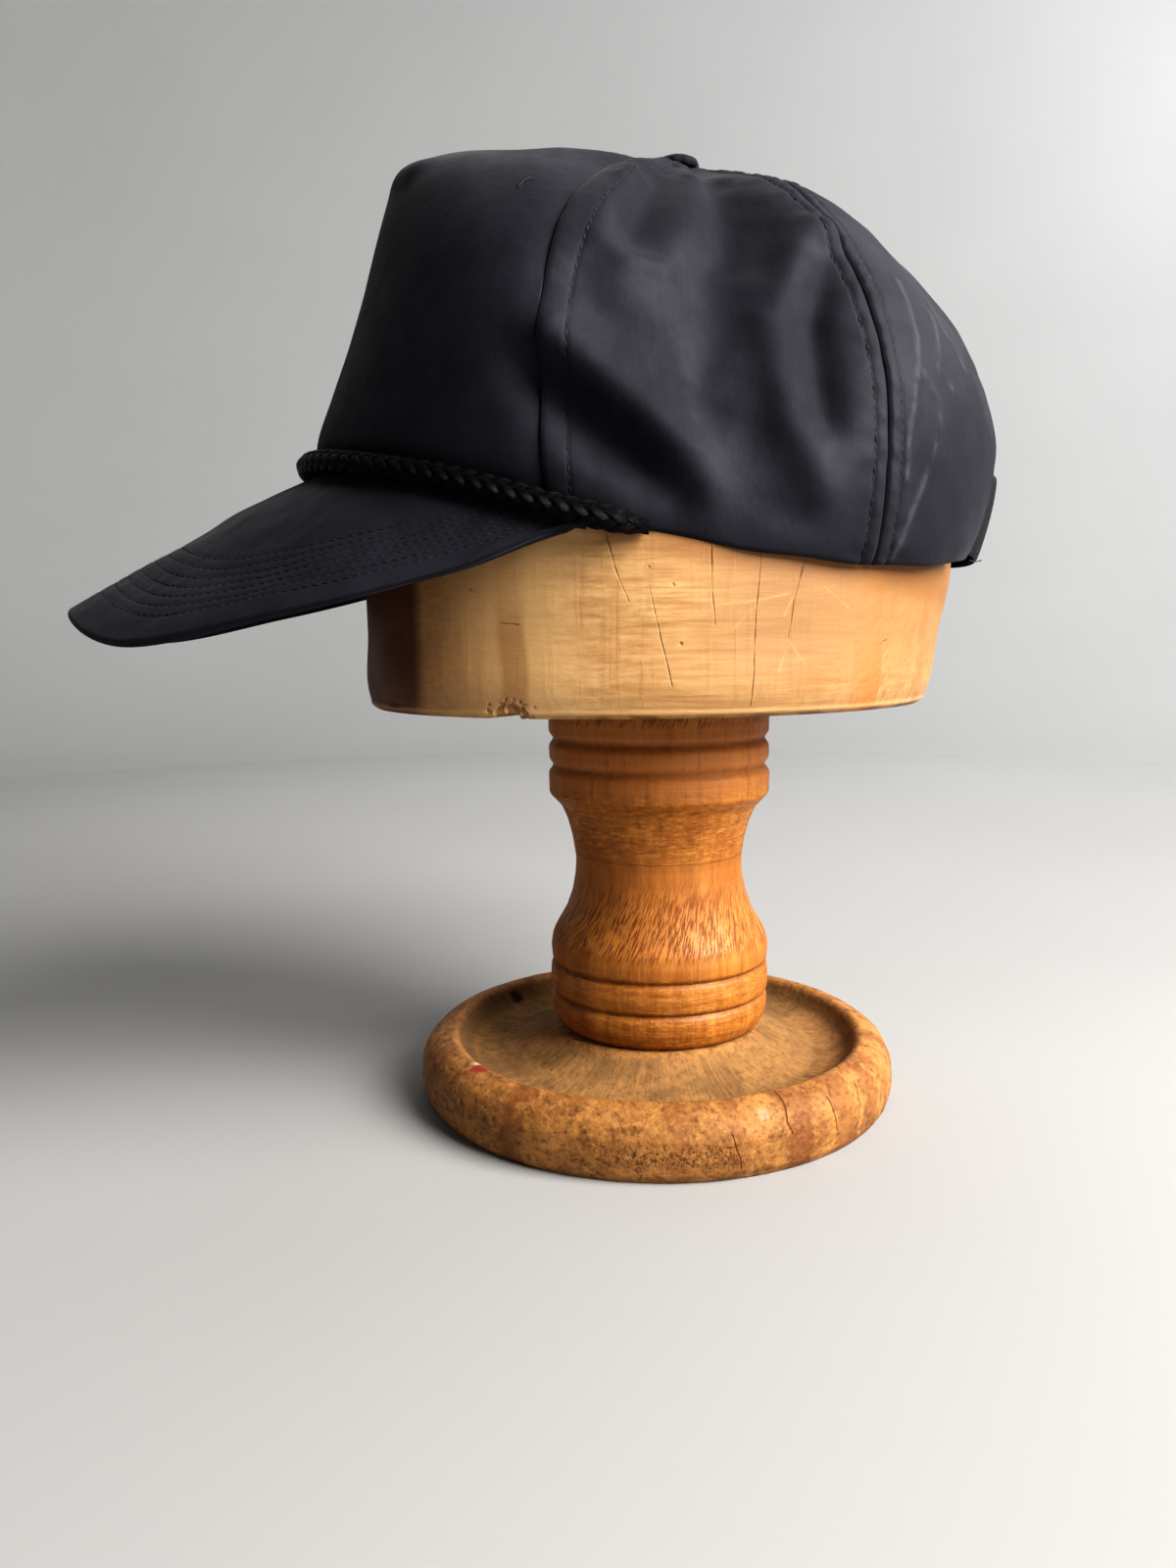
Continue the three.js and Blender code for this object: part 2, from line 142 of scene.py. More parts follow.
# Levels of its rings: from, to, count and how many to leave off the start
BLOCK_LEVELS = ((135.5, 142, 24, 0), (142, 205, 66, 1), (205, 250, 30, 1))
BLOCK_WEAR, CHIP_RAGGED = ((45, 0.12, 51),), ((2.6, 0.3, 52), (1.1, 0.12, 53))
# Chip and nick in its lower edge; more rings of points stand where the chip is
CHIP_PLACE, CHIP_REACH = np.array([61.0, -60.5, 136.3]), np.array([14.0, 4.2, 3.2])
CHIP_DEPTH, CHIP_RISE, CHIP_TOP, CHIP_FADE, CHIP_FULL, NICK_FULL = 1.6, 3.4, 141, 5, 1.25, 1.1
CHIP_TURN = np.radians(360 - np.linspace(44.1, 32.1, 60))
NICK_PLACE, NICK_REACH, NICK_DEPTH = np.array([28.0, -90.3, 138.5]), np.array([9.0, 2.2, 1.2]), 0.9

# Turned column and base: radius and height
COLUMN = np.array((
    (33.8, 23.3), (35.6, 25), (37.2, 28.5), (37.7, 32), (37.3, 34.4), (36, 35.4), (37.5, 36.4),
    (37.9, 40.5), (37.4, 44.9), (36, 45.9), (37.4, 47), (37.7, 51), (37, 55), (34.7, 59.4),
    (32, 64.3), (30.1, 69.6), (28.9, 76), (28.6, 81), (29.5, 88), (31.4, 95.2), (33.7, 100.5),
    (37.9, 104.8), (37.9, 112), (36, 114.3), (37.7, 116.6), (37.7, 121), (36, 123.4),
    (37.7, 125.4), (37.7, 135.2),
), float)
COLUMN_OFF = 1.5
TURNED_WEAR = ((38, 0.1, 0), (9, 0.05, 1))
GROOVE_Z, GROOVE_REACH = (23.6, 35.4, 45.9, 114.3, 123.4, 134.8), 0.9
BASE = np.array((
    (79, 0), (81, 2.6), (82, 8), (81.6, 13.5), (79.6, 17.8), (76, 20.6), (71.5, 21.9), (69.6, 21),
    (68, 18.4), (66, 16.2), (62, 14.6), (56, 14.3), (48, 16.2), (40, 20), (35.5, 23),
), float)


# Curves and fields


def cubic(x, y, slope, at):
    """Cubic curve through the values y at x with the given slopes, read at other places."""
    i = np.clip(np.searchsorted(x, at, side="right") - 1, 0, len(x) - 2)
    h = x[i + 1] - x[i]
    t = (at - x[i]) / h
    u = 1 - t
    start = y[i] * (1 + 2 * t) * u * u + slope[i] * h * t * u * u
    end = y[i + 1] * t * t * (3 - 2 * t) - slope[i + 1] * h * t * t * u
    return start + end


def ease(stations, values, deg):
    """Cubic curve through the stations, level at both ends and the same on both sides."""
    x, y = np.asarray(stations, float), np.asarray(values, float)
    slope = np.zeros(len(x))
    slope[1:-1] = (y[2:] - y[:-2]) / (x[2:] - x[:-2])
    return cubic(x, y, slope, np.abs(deg))


def smooth(share):
    """Share from 0 to 1 that starts and ends level."""
    return share * share * (3 - 2 * share)


def soft_noise(points, wavelength, seed, waves=22):
    """Sum of plane waves in random directions, with a spread of about one."""
    rng = np.random.default_rng(seed)
    points = np.asarray(points, float)
    direction = rng.normal(size=(waves, points.shape[-1]))
    direction /= np.linalg.norm(direction, axis=1, keepdims=True)
    turns = 2 * np.pi / (wavelength * rng.uniform(0.65, 1.6, waves))
    phase = rng.uniform(0, 2 * np.pi, waves)
    angle = points @ (direction * turns[:, None]).T + phase
    return np.sin(angle).sum(-1) * math.sqrt(2 / waves)


def ripple(length, wavelength, seed):
    """The same sum of waves along one line."""
    return soft_noise(np.asarray(length, float)[..., None], wavelength, seed, 9)


def layered(points, table, seed=0):
    """Sum of soft noises; the table has length, height and step of seed."""
    return sum(high * soft_noise(points, wave, seed + step) for wave, high, step in table)


def bell(distance, width):
    """Round hump that falls off with distance."""
    return np.exp(-((distance / width) ** 2))


def path_distance(points, path):
    """Least distance from each point to a chain of straight pieces."""
    best = np.full(points.shape[:-1], np.inf)
    for a, b in zip(path[:-1], path[1:]):
        d = b - a
        t = np.clip((points - a) @ d / (d @ d), 0, 1)
        best = np.minimum(best, np.linalg.norm(points - a - t[..., None] * d, axis=-1))
    return best


def unit(vectors):
    """Vectors brought to a length of one."""
    return vectors / np.linalg.norm(vectors, axis=-1, keepdims=True)


def line_length(points):
    """Length run along a line of points."""
    return np.concatenate([[0], np.cumsum(np.linalg.norm(np.diff(points, axis=0), axis=1))])


def turns(sides):
    """Angles evenly round a circle."""
    return 2 * np.pi * np.arange(sides) / sides


def lathe(radius, height, sides):
    """Rings of points round the Z axis, from a column of radii and one of heights."""
    turn = turns(sides)
    return np.stack([radius * np.cos(turn), radius * np.sin(turn), height + 0 * turn], -1)


def set_back(thick, share):
    """How far the round of an edge sets back each face, from a share that is one at the edge."""
    return thick / 2 * (1 - np.sqrt(np.clip(1 - share, 0, 1)))


# Meshes


def grid_quads(rows, columns, ring=False):
    """Quads of a grid kept row by row; a ring joins the last column to the first."""
    row = np.arange(rows - 1)[:, None] * columns
    col = np.arange(columns if ring else columns - 1)[None, :]
    after = (col + 1) % columns
    corners = (row + col, row + after, row + columns + after, row + columns + col)
    return np.stack(corners, -1).reshape(-1, 4)


def enclosed(points, quads, tris):
    """Volume enclosed by the faces, negative where they point inward."""
    total = 0.0
    for corners in (quads[:, :3], quads[:, [0, 2, 3]], tris):
        a, b, c = points[corners.T]
        total += np.einsum("ij,ij->", a, np.cross(b, c))
    return total


def put_mesh(name, points, quads, tris=(), uv=None, layers=None):
    """One smooth mesh object from points in millimetres, its faces, UV map and point layers."""
    points = np.asarray(points, float).reshape(-1, 3)
    quads = np.asarray(quads, int).reshape(-1, 4)
    tris = np.asarray(tris, int).reshape(-1, 3)
    if enclosed(points, quads, tris) < 0:
        quads, tris = quads[:, ::-1], tris[:, ::-1]
    corners = np.concatenate([quads.ravel(), tris.ravel()]).astype(np.int32)
    sizes = np.concatenate([np.full(len(quads), 4), np.full(len(tris), 3)])
    starts = np.concatenate([[0], np.cumsum(sizes)[:-1]]).astype(np.int32)
    mesh = bpy.data.meshes.new(name)
    mesh.vertices.add(len(points))
    mesh.vertices.foreach_set("co", (points * MM).astype(np.float32).ravel())
    mesh.loops.add(len(corners))
    mesh.loops.foreach_set("vertex_index", corners)
    mesh.polygons.add(len(sizes))
    mesh.polygons.foreach_set("loop_start", starts)
    mesh.polygons.foreach_set("use_smooth", np.ones(len(sizes), bool))
    if uv is not None:
        flat = np.asarray(uv, np.float32).reshape(-1, 2)
        mesh.uv_layers.new(name="cloth_map").data.foreach_set("uv", flat[corners].ravel())
    for key, values in (layers or {}).items():
        layer = mesh.attributes.new(key, "FLOAT", "POINT")
        layer.data.foreach_set("value", np.asarray(values, np.float32).ravel())
    mesh.update(calc_edges=True)
    piece = bpy.data.objects.new(name, mesh)
    bpy.context.scene.collection.objects.link(piece)
    return piece


def dress(piece, material, slot, *nodes):
    """Gives a piece its material and its body, and hides the CAD nodes that it stands for; its slot is not
    used.
    """
    piece.data.materials.append(material)
    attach(piece, "root")
    if nodes:
        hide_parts(*nodes)


def shell(outer, inner):
    """Points and quads of a closed wall between two grids of the same size."""
    rows, columns = outer.shape[:2]
    count = rows * columns
    index = np.arange(count).reshape(rows, columns)
    face = grid_quads(rows, columns)
    loop = np.concatenate([index[0, :-1], index[:-1, -1], index[-1, :0:-1], index[:0:-1, 0]])
    after = np.roll(loop, -1)
    wall = np.stack([after, loop, loop + count, after + count], -1)
    points = np.concatenate([outer.reshape(-1, 3), inner.reshape(-1, 3)])
    return points, np.concatenate([face, face[:, ::-1] + count, wall])


def closed_rings(rings):
    """Points, quads and end fans of a stack of rings."""
    rows, columns = rings.shape[:2]
    ends = np.stack([rings[0].mean(0), rings[-1].mean(0)])
    points = np.concatenate([rings.reshape(-1, 3), ends])
    first = np.arange(columns)
    after = (first + 1) % columns
    low = np.stack([after, first, np.full(columns, rows * columns)], -1)
    top = (rows - 1) * columns
    high = np.stack([first + top, after + top, np.full(columns, rows * columns + 1)], -1)
    return points, grid_quads(rows, columns, ring=True), np.concatenate([low, high])


def tubes(lines, across, along, sides, tips=None):
    """Closed tubes of oval section round several lines of the same number of points.

    Each ring is the line's point plus cos times one vector and sin times the other. The ends are
    flat, or drawn out to tips."""
    turn = turns(sides)[:, None]
    rings = (lines[..., None, :] + across[..., None, :] * np.cos(turn)
             + along[..., None, :] * np.sin(turn))
    count, rows = lines.shape[:2]
    points, quads, tris = map(np.array, zip(*(closed_rings(stack) for stack in rings)))
    if tips is not None:
        points[:, -2:] = tips
    shift = np.arange(count)[:, None, None] * (rows * sides + 2)
    return points.reshape(-1, 3), (quads + shift).reshape(-1, 4), (tris + shift).reshape(-1, 3)


# Crown


def rim_radius(deg):
    """Radius of the oval rim about the apex axis."""
    a = np.radians(deg)
    length = np.where(np.abs(deg) < 90, RIM_FRONT, RIM_BACK)
    return 1 / np.hypot(np.sin(a) / RIM_SIDE, np.cos(a) / length)


def about_apex(deg, r, z):
    """Points at angles, radii and heights about the apex axis."""
    a = np.radians(deg)
    return np.stack([r * np.sin(a), APEX_Y - r * np.cos(a), z], -1)


def crown_base(deg, s):
    """Smooth crown: a rounded-square meridian from the rim (s = 0) to the apex (s = 1).

    The front is set out or in by a curve of the height, which fades round the sides."""
    deg, s = np.broadcast_arrays(np.asarray(deg, float), np.asarray(s, float))
    n = ease(STATION_DEG, SQUARE, deg)
    c = np.cos(s * np.pi / 2)
    q = np.sin(s * np.pi / 2)
    d = (c ** n + np.maximum(q, 0) ** n) ** (1 / n)
    across, up = c / d, q / d
    low = ease(RIM_DEG, RIM_Z, deg)
    belly = ease(STATION_DEG, BELLY, deg) * np.sin(np.pi * up) * np.sqrt(across)
    r = rim_radius(deg) * across * (1 - ease(STATION_DEG, LEAN, deg) * up) + belly
    r = r + bell(deg, FRONT_SPREAD_DEG) * ease(FRONT_UP, FRONT_SHIFT, up) * across
    z = low + (APEX_Z - low) * up - ease(STATION_DEG, FALL, deg) * across * up ** 4
    return about_apex(deg, r, z)


def crown_normal(deg, s):
    """Outward normal of the smooth crown, from small steps round and up."""
    round_ = crown_base(deg + ROUND_STEP, s) - crown_base(deg - ROUND_STEP, s)
    rise = crown_base(deg, s + RISE_STEP) - crown_base(deg, np.maximum(s - RISE_STEP, 0))
    return unit(np.cross(round_, rise))


def relief(points, table):
    """Sum of round ridges and valleys along paths on the smooth crown."""
    total = np.zeros(points.shape[:-1])
    for path, width, height in table:
        line = np.array([crown_base(deg, s) for deg, s in path])
        total += height * bell(path_distance(points, line), width)
    return total


def fold_height(points, s):
    """Height of the folds, which fade at the rim."""
    return relief(points, FOLDS) * np.minimum(1, s / FOLD_FADE_S)


def moon_edge(deg):
    """Lower edge of the crown as s, raised into the half-moon at the back."""
    away = np.clip((180 - np.abs(deg)) / MOON_HALF_DEG, 0, 1)
    return MOON_TOP_S * (1 - away ** MOON_ROUNDNESS) ** (1 / MOON_ROUNDNESS)


# A panel's edge: groove depth and width at the seam, swelling beside it, distance of the
# topstitching (0 for none), and the dent under the stitches
SEAM_EDGES = {
    "front_inner": {"groove": 0.95, "width": 4.6, "swell": 0.0, "stitch": 0, "dent": 0},
    "front_outer": {"groove": 0.45, "width": 0.8, "swell": 0.14, "stitch": 7.0, "dent": 0.2},
    "back": {"groove": 0.85, "width": 0.6, "swell": 0.3, "stitch": 4.8, "dent": 0.32},
    "centre": {"groove": 1.1, "width": 0.8, "swell": 0.28, "stitch": 4.8, "dent": 0.36},
}
PANELS = {
    "front_panel": {"span": (-FRONT_SEAM, FRONT_SEAM), "edges": ("front_inner", "front_inner"),
                    "middle": 118, "seed": 11, "calm": 0.3},
    "side_panel_left": {"span": (FRONT_SEAM, BACK_SEAM), "edges": ("front_outer", "back"),
                        "middle": 66, "seed": 12, "calm": 1.0},
    "side_panel_right": {"span": (-BACK_SEAM, -FRONT_SEAM), "edges": ("back", "front_outer"),
                         "middle": 66, "seed": 13, "calm": 1.0},
    "back_panel_left": {"span": (BACK_SEAM, 180.0), "edges": ("back", "centre"),
                        "middle": 80, "seed": 14, "calm": 1.0},
    "back_panel_right": {"span": (-180.0, -BACK_SEAM), "edges": ("centre", "back"),
                         "middle": 80, "seed": 15, "calm": 1.0},
}
EDGE_ZONE = 9.0
EDGE_COLUMNS = 24
PANEL_ROWS = 150
SEAM_SLIT = 0.06
RIM_WAVE = 0.0012
HEM_CURL, HEM_HEIGHT = 1.1, 7.0
LIP_CURL, LIP_HEIGHT = 0.8, 1.2
STITCH_PITCH, STITCH_LENGTH, STITCH_WIDTH, STITCH_SIDES = 2.8, 2.1, 0.42, 6
# Places of a stitch's rings and tips as shares of its half length, and thickness of the rings
STITCH_LIE, STITCH_TIPS = np.array([[-0.62], [0], [0.62]]), np.array([[-1], [1]])
STITCH_THICK = np.array([[0.8], [1], [0.8]])
LIP_ROWS, LIP_REACH, MERIDIAN_POINTS = 11, 4, 700
PLAIN_REACH, DENT_WIDTH, BESIDE_REACH, BESIDE_HEIGHT, THINNEST = 5.0, 0.62, 4.5, 0.1, 0.25
# Waves along a seam, as length, share and step of seed, and over the cloth, as length, height and step
PUCKERS = ((6.5, 0.4, 0), (3.6, 0.2, 5))
WRINKLES = ((34, 0.3, 0), (13, 0.09, 40))


def panel_rows(panel):
    """Shares of the meridian from rim to apex, closest together at the rim, and lengths."""
    middle = sum(panel["span"]) / 2
    s = np.linspace(0, APEX_S, MERIDIAN_POINTS)
    length = line_length(crown_base(np.full_like(s, middle), s))
    lip = np.linspace(0, LIP_REACH, LIP_ROWS)
    at = np.concatenate([lip, np.linspace(LIP_REACH, length[-1], PANEL_ROWS - LIP_ROWS + 1)[1:]])
    return np.interp(at, length, s) / APEX_S, at


def seam_zone(panel, v):
    """Radius at both seams and the width of the zone beside them, row by row."""
    start, end = panel["span"]
    radius = []
    for deg in (start, end):
        low = moon_edge(deg)
        p = crown_base(np.full_like(v, deg), low + (APEX_S - low) * v)
        radius.append(np.hypot(p[:, 0], p[:, 1] - APEX_Y))
    width = math.radians(end - start) * (radius[0] + radius[1]) / 2
    return radius, np.minimum(EDGE_ZONE, 0.3 * width)


def panel_relief(panel, points, s, near, along, scale):
    """Height of the cloth over the smooth crown, and that of its folds alone.

    Folds and creases, a groove with a puckered swelling and a stitched dent beside each seam,
    slow wrinkles, and a lower edge that rolls inward."""
    folds = fold_height(points, s)
    total = folds + relief(points, CREASES) * np.minimum(1, CREASE_AT_RIM + s / FOLD_FADE_S)
    for side, distance in enumerate(near):
        edge = SEAM_EDGES[panel["edges"][side]]
        seed = panel["seed"] * 10 + side
        total -= scale * edge["groove"] * bell(distance, edge["width"])
        reach = edge["stitch"] or PLAIN_REACH
        pucker = sum(share * ripple(along, wave, seed + step) for wave, share, step in PUCKERS)
        inside = np.sin(np.pi * np.clip(distance / reach, 0, 1)) ** 2
        total += scale * edge["swell"] * inside * (1 + pucker)
        uneven = 1 + 0.2 * ripple(along, 3, seed + 7)
        total -= scale * edge["dent"] * bell(distance - reach, DENT_WIDTH) * uneven
        beyond = np.where(distance > reach, bell(distance - reach, BESIDE_REACH), 0)
        total += scale * panel["calm"] * BESIDE_HEIGHT * beyond * ripple(along, 7.5, seed + 3)
    total += panel["calm"] * layered(points, WRINKLES, panel["seed"])
    total -= HEM_CURL * np.clip(1 - along / HEM_HEIGHT, 0, 1) ** 2
    total -= LIP_CURL * np.clip(1 - along / LIP_HEIGHT, 0, 1) ** 2
    return total, folds


def panel_surface(name):
    """Grids of a panel's outer and inner cloth, its map in millimetres and its worn creases.

    Columns near a seam keep their distance from it, the rest share the angle between."""
    panel = PANELS[name]
    start, end = panel["span"]
    v, along = panel_rows(panel)
    (r_start, r_end), zone = seam_zone(panel, v)
    share = np.linspace(0, 1, EDGE_COLUMNS)
    step = share * (zone[:, None] - SEAM_SLIT) + SEAM_SLIT
    left = start + np.degrees(step / r_start[:, None])
    right = end - np.degrees(step / r_end[:, None])
    m = np.linspace(0, 1, panel["middle"] + 2)[1:-1]
    middle = left[:, -1:] + m * (right[:, -1:] - left[:, -1:])
    deg = np.concatenate([left, middle, right[:, ::-1]], 1)
    low = moon_edge(deg[0]) + RIM_WAVE * (1 + 0.5 * ripple(np.radians(deg[0]) * 90, 45, 70))
    s = low + (APEX_S - low) * v[:, None]
    points = crown_base(deg, s)
    normal = crown_normal(deg, s)
    nominal = share * EDGE_ZONE
    off_left = EDGE_ZONE + np.radians(deg - left[:, -1:]) * r_start[:, None]
    off_right = EDGE_ZONE + np.radians(right[:, -1:] - deg) * r_end[:, None]
    off_left[:, :EDGE_COLUMNS] = nominal
    off_right[:, -EDGE_COLUMNS:] = nominal[::-1]
    scale = (zone / EDGE_ZONE)[:, None]
    run = np.broadcast_to(along[:, None], deg.shape)
    total, folds = panel_relief(panel, points, s, (off_left, off_right), run, scale)
    under = np.minimum(folds - CLOTH, total - THINNEST)
    outer = points + normal * total[..., None]
    inner = points + normal * under[..., None]
    r = np.hypot(points[..., 0], points[..., 1] - APEX_Y)
    cloth_map = np.stack([np.radians(deg - (start + end) / 2) * r, run], -1)
    worn = np.clip(relief(points, CREASE_WEAR), 0, 1)
    return outer, inner, cloth_map, worn


def pick(at, run, values):
    """Rows of values read off at lengths along a line."""
    return np.stack([np.interp(at, run, column) for column in values.T], -1)


def stitch_rows(lines, normals, height):
    """A spindle for each stitch along lines of points with normals: rings between two tips."""
    centres, forward, up = [], [], []
    for line, normal in zip(lines, normals):
        run = line_length(line)
        at = np.arange(STITCH_PITCH * 0.7, run[-1] - STITCH_PITCH * 0.5, STITCH_PITCH)
        centres.append(pick(at, run, line))
        forward.append(unit(pick(at, run, unit(np.gradient(line, axis=0)))))
        up.append(unit(pick(at, run, normal)))
    centres, forward, up = (np.concatenate(rows)[:, None] for rows in (centres, forward, up))
    reach = forward * STITCH_LENGTH / 2
    side = unit(np.cross(up, forward))
    return tubes(centres + reach * STITCH_LIE, side * STITCH_THICK * STITCH_WIDTH / 2,
                 up * STITCH_THICK * height / 2, STITCH_SIDES, centres + reach * STITCH_TIPS)


def grid_normals(grid):
    """Normals of a grid of points, from its rows and columns."""
    return unit(np.cross(np.gradient(grid, axis=1), np.gradient(grid, axis=0)))


# Peak


def peak_top(u, v):
    """Upper face of the peak: straight from the rim (v = 0) to a rounded outline (v = 1)."""
    def rim_point(deg):
        return about_apex(deg, rim_radius(deg) + PEAK_CLEAR, ease(RIM_DEG, RIM_Z, deg) + PEAK_CLEAR)

    root = rim_point(PEAK_HALF_DEG * u)
    corner = rim_point(np.array(float(PEAK_HALF_DEG)))
    a = np.radians(90 * u)
    forward = np.maximum(0, np.cos(a)) ** (2 / PEAK_ROUNDNESS)
    swell = (PEAK_HALF_WIDTH - corner[0]) * np.sin(np.pi * forward)
    x = (corner[0] + swell) * np.sign(np.sin(a)) * np.abs(np.sin(a)) ** (2 / PEAK_ROUNDNESS)
    y = corner[1] + (PEAK_TIP_Y - corner[1]) * forward
    edge = np.stack([x, y, ease(PEAK_EDGE_DEG, PEAK_EDGE_Z, 90 * u)], -1)
    point = root + (edge - root) * v[..., None]
    rise = PEAK_BULGE * np.sin(np.pi * v) + PEAK_LIFT * bell(v - PEAK_LIFT_AT, PEAK_LIFT_REACH)
    point[..., 2] += rise * np.cos(a)
    return point


def peak_surface(columns=230, rows=128):
    """Grids of the peak's two faces, its map, its length by column and distances from its edge.

    The edge is rounded, with stitched grooves beside it. Rows keep their distance from the
    outer edge near it and share the rest evenly."""
    t = np.linspace(-1, 1, columns)
    fan = math.radians(PEAK_FAN_DEG)
    u = PEAK_SPREAD * np.sin(fan * t) / math.sin(fan)
    length = np.linalg.norm(peak_top(u, np.ones_like(u)) - peak_top(u, np.zeros_like(u)), axis=-1)
    shrink = np.minimum(1, length / PEAK_SHORT)
    near = PEAK_BRIM[:, None] * shrink
    share = np.linspace(0, 1, rows - len(PEAK_BRIM) + 1)[1:, None]
    far = near[-1] + (length - near[-1]) * share
    gap = np.concatenate([near, far])[::-1]
    v = 1 - gap / length
    uu = np.broadcast_to(u, v.shape)
    top = peak_top(uu, v)
    across = peak_top(uu + PEAK_STEP_U, v) - peak_top(uu - PEAK_STEP_U, v)
    ahead = peak_top(uu, v + PEAK_STEP_V) - peak_top(uu, v - PEAK_STEP_V)
    down = unit(np.cross(across, ahead))
    plumb = np.broadcast_to(np.array([0.0, 0.0, -1.0]), down.shape)
    blend = np.minimum(1, 3 * v)[..., None]
    down = unit(plumb * (1 - blend) + down * blend)
    rim = np.clip(1 - gap / (PEAK_ROUND * shrink), 0, 1) ** 2
    round_ = set_back(PEAK_THICK, rim)
    dent = np.zeros_like(gap)
    for k, row in enumerate(PEAK_ROWS):
        wobble = PEAK_ROW_WOBBLE * ripple(u * 100, PEAK_ROW_WAVE, PEAK_ROW_SEED + k)
        fade = np.clip((length - row - PEAK_ROW_END + 1) / PEAK_ROW_FADE, 0, 1)
        dent += PEAK_ROW_DENT * bell(gap - row - wobble, PEAK_ROW_WIDTH) * fade
    flat = np.clip(gap / PEAK_CALM, 0, 1)
    outer = top + down * (round_ + (dent - layered(top, PEAK_WAVES)) * flat)[..., None]
    inner = top + down * (PEAK_THICK - round_ - PEAK_UNDER_DENT * dent)[..., None]
    cloth_map = np.stack([top[..., 0], -top[..., 1]], -1)
    return outer, inner, cloth_map, length, gap


# Cord


def cord_line(count):
    """Centre line of the cord, its outward direction and its share of full thickness.

    It runs above the rim just outside the crown, and both ends turn down and thin out."""
    end = CORD_HALF_DEG + CORD_END_DEG
    deg = np.linspace(-end, end, count)
    tail = smooth(np.clip(1 - (end - np.abs(deg)) / CORD_TAIL_DEG, 0, 1))
    side = np.clip(np.abs(deg) / CORD_SIDE_DEG, 0, 1)
    lift = CORD_FRONT_LIFT + (CORD_SIDE_LIFT - CORD_FRONT_LIFT) * smooth(side)
    s = np.arctan(lift / (APEX_Z - ease(RIM_DEG, RIM_Z, deg))) * 2 / np.pi
    base = crown_base(deg, s)
    fold = fold_height(base, s)
    level = unit(crown_normal(deg, s) * np.array([1.0, 1.0, 0.0]))
    thin = 1 - 0.5 * tail ** 3
    stand = CORD_CLEAR + CORD_STAND * (1 - side)
    line = base + level * (fold + CORD_RADIUS * thin + stand - CORD_TAIL_IN * tail)[:, None]
    line[:, 2] -= CORD_TAIL_DROP * tail
    return line, level, thin


def cord_strands():
    """Lines and oval sections of two opposite sets of strands that pass over and under.

    Each strand is a helix about the cord's line; its radius rises and falls as it crosses."""
    line, level, thin = cord_line(CORD_POINTS)
    run = line_length(line)
    ahead = unit(np.gradient(line, axis=0))
    out = unit(level - ahead * np.sum(level * ahead, -1, keepdims=True))
    up = np.cross(ahead, out)
    turn = 2 * np.pi * run / CORD_PITCH
    lines, flat, thick = [], [], []
    for hand in (1, -1):
        for k in range(CORD_STRANDS):
            angle = hand * turn + 2 * np.pi * k / CORD_STRANDS
            weave = hand * np.cos(CORD_STRANDS * turn / 2 + hand * np.pi * (k + 0.25))
            radius = (CORD_RADIUS - STRAND_SINK + STRAND_WEAVE * weave) * thin
            radial = out * np.cos(angle)[:, None] + up * np.sin(angle)[:, None]
            strand = line + radial * radius[:, None]
            forward = unit(np.gradient(strand, axis=0))
            side = unit(np.cross(forward, radial))
            lines.append(strand)
            flat.append(side * (STRAND_WIDE * thin)[:, None])
            thick.append(radial * (STRAND_THICK * thin)[:, None])
    return np.array(lines), np.array(flat), np.array(thick)


# Shader nodes


def spaced(inputs):
    """Keywords as names of sockets, with spaces for underscores."""
    return {key.replace("_", " "): value for key, value in inputs.items()}


class Field:
    """A value at every place, made by the nodes of one tree."""

    def __init__(self, nodes, socket):
        self.nodes = nodes
        self.socket = socket

    def math(self, operation, *others):
        return self.nodes.math(operation, self, *others)

    def __mul__(self, other):
        return self.math("MULTIPLY", other)

    def __add__(self, other):
        return self.math("ADD", other)

    def span(self, low, high, to_low=0.0, to_high=1.0, kind="SMOOTHSTEP"):
        """The field mapped from one range to another and held at both ends."""
        inputs = {0: self, 1: low, 2: high, 3: to_low, 4: to_high}
        node = self.nodes.add("ShaderNodeMapRange", inputs, interpolation_type=kind, clamp=True)
        return Field(self.nodes, node.outputs[0])

    def between(self, low, high, soft):
        """Mask of a band between two values with soft edges."""
        return self.span(low - soft, low + soft) * self.span(high - soft, high + soft, 1.0, 0.0)


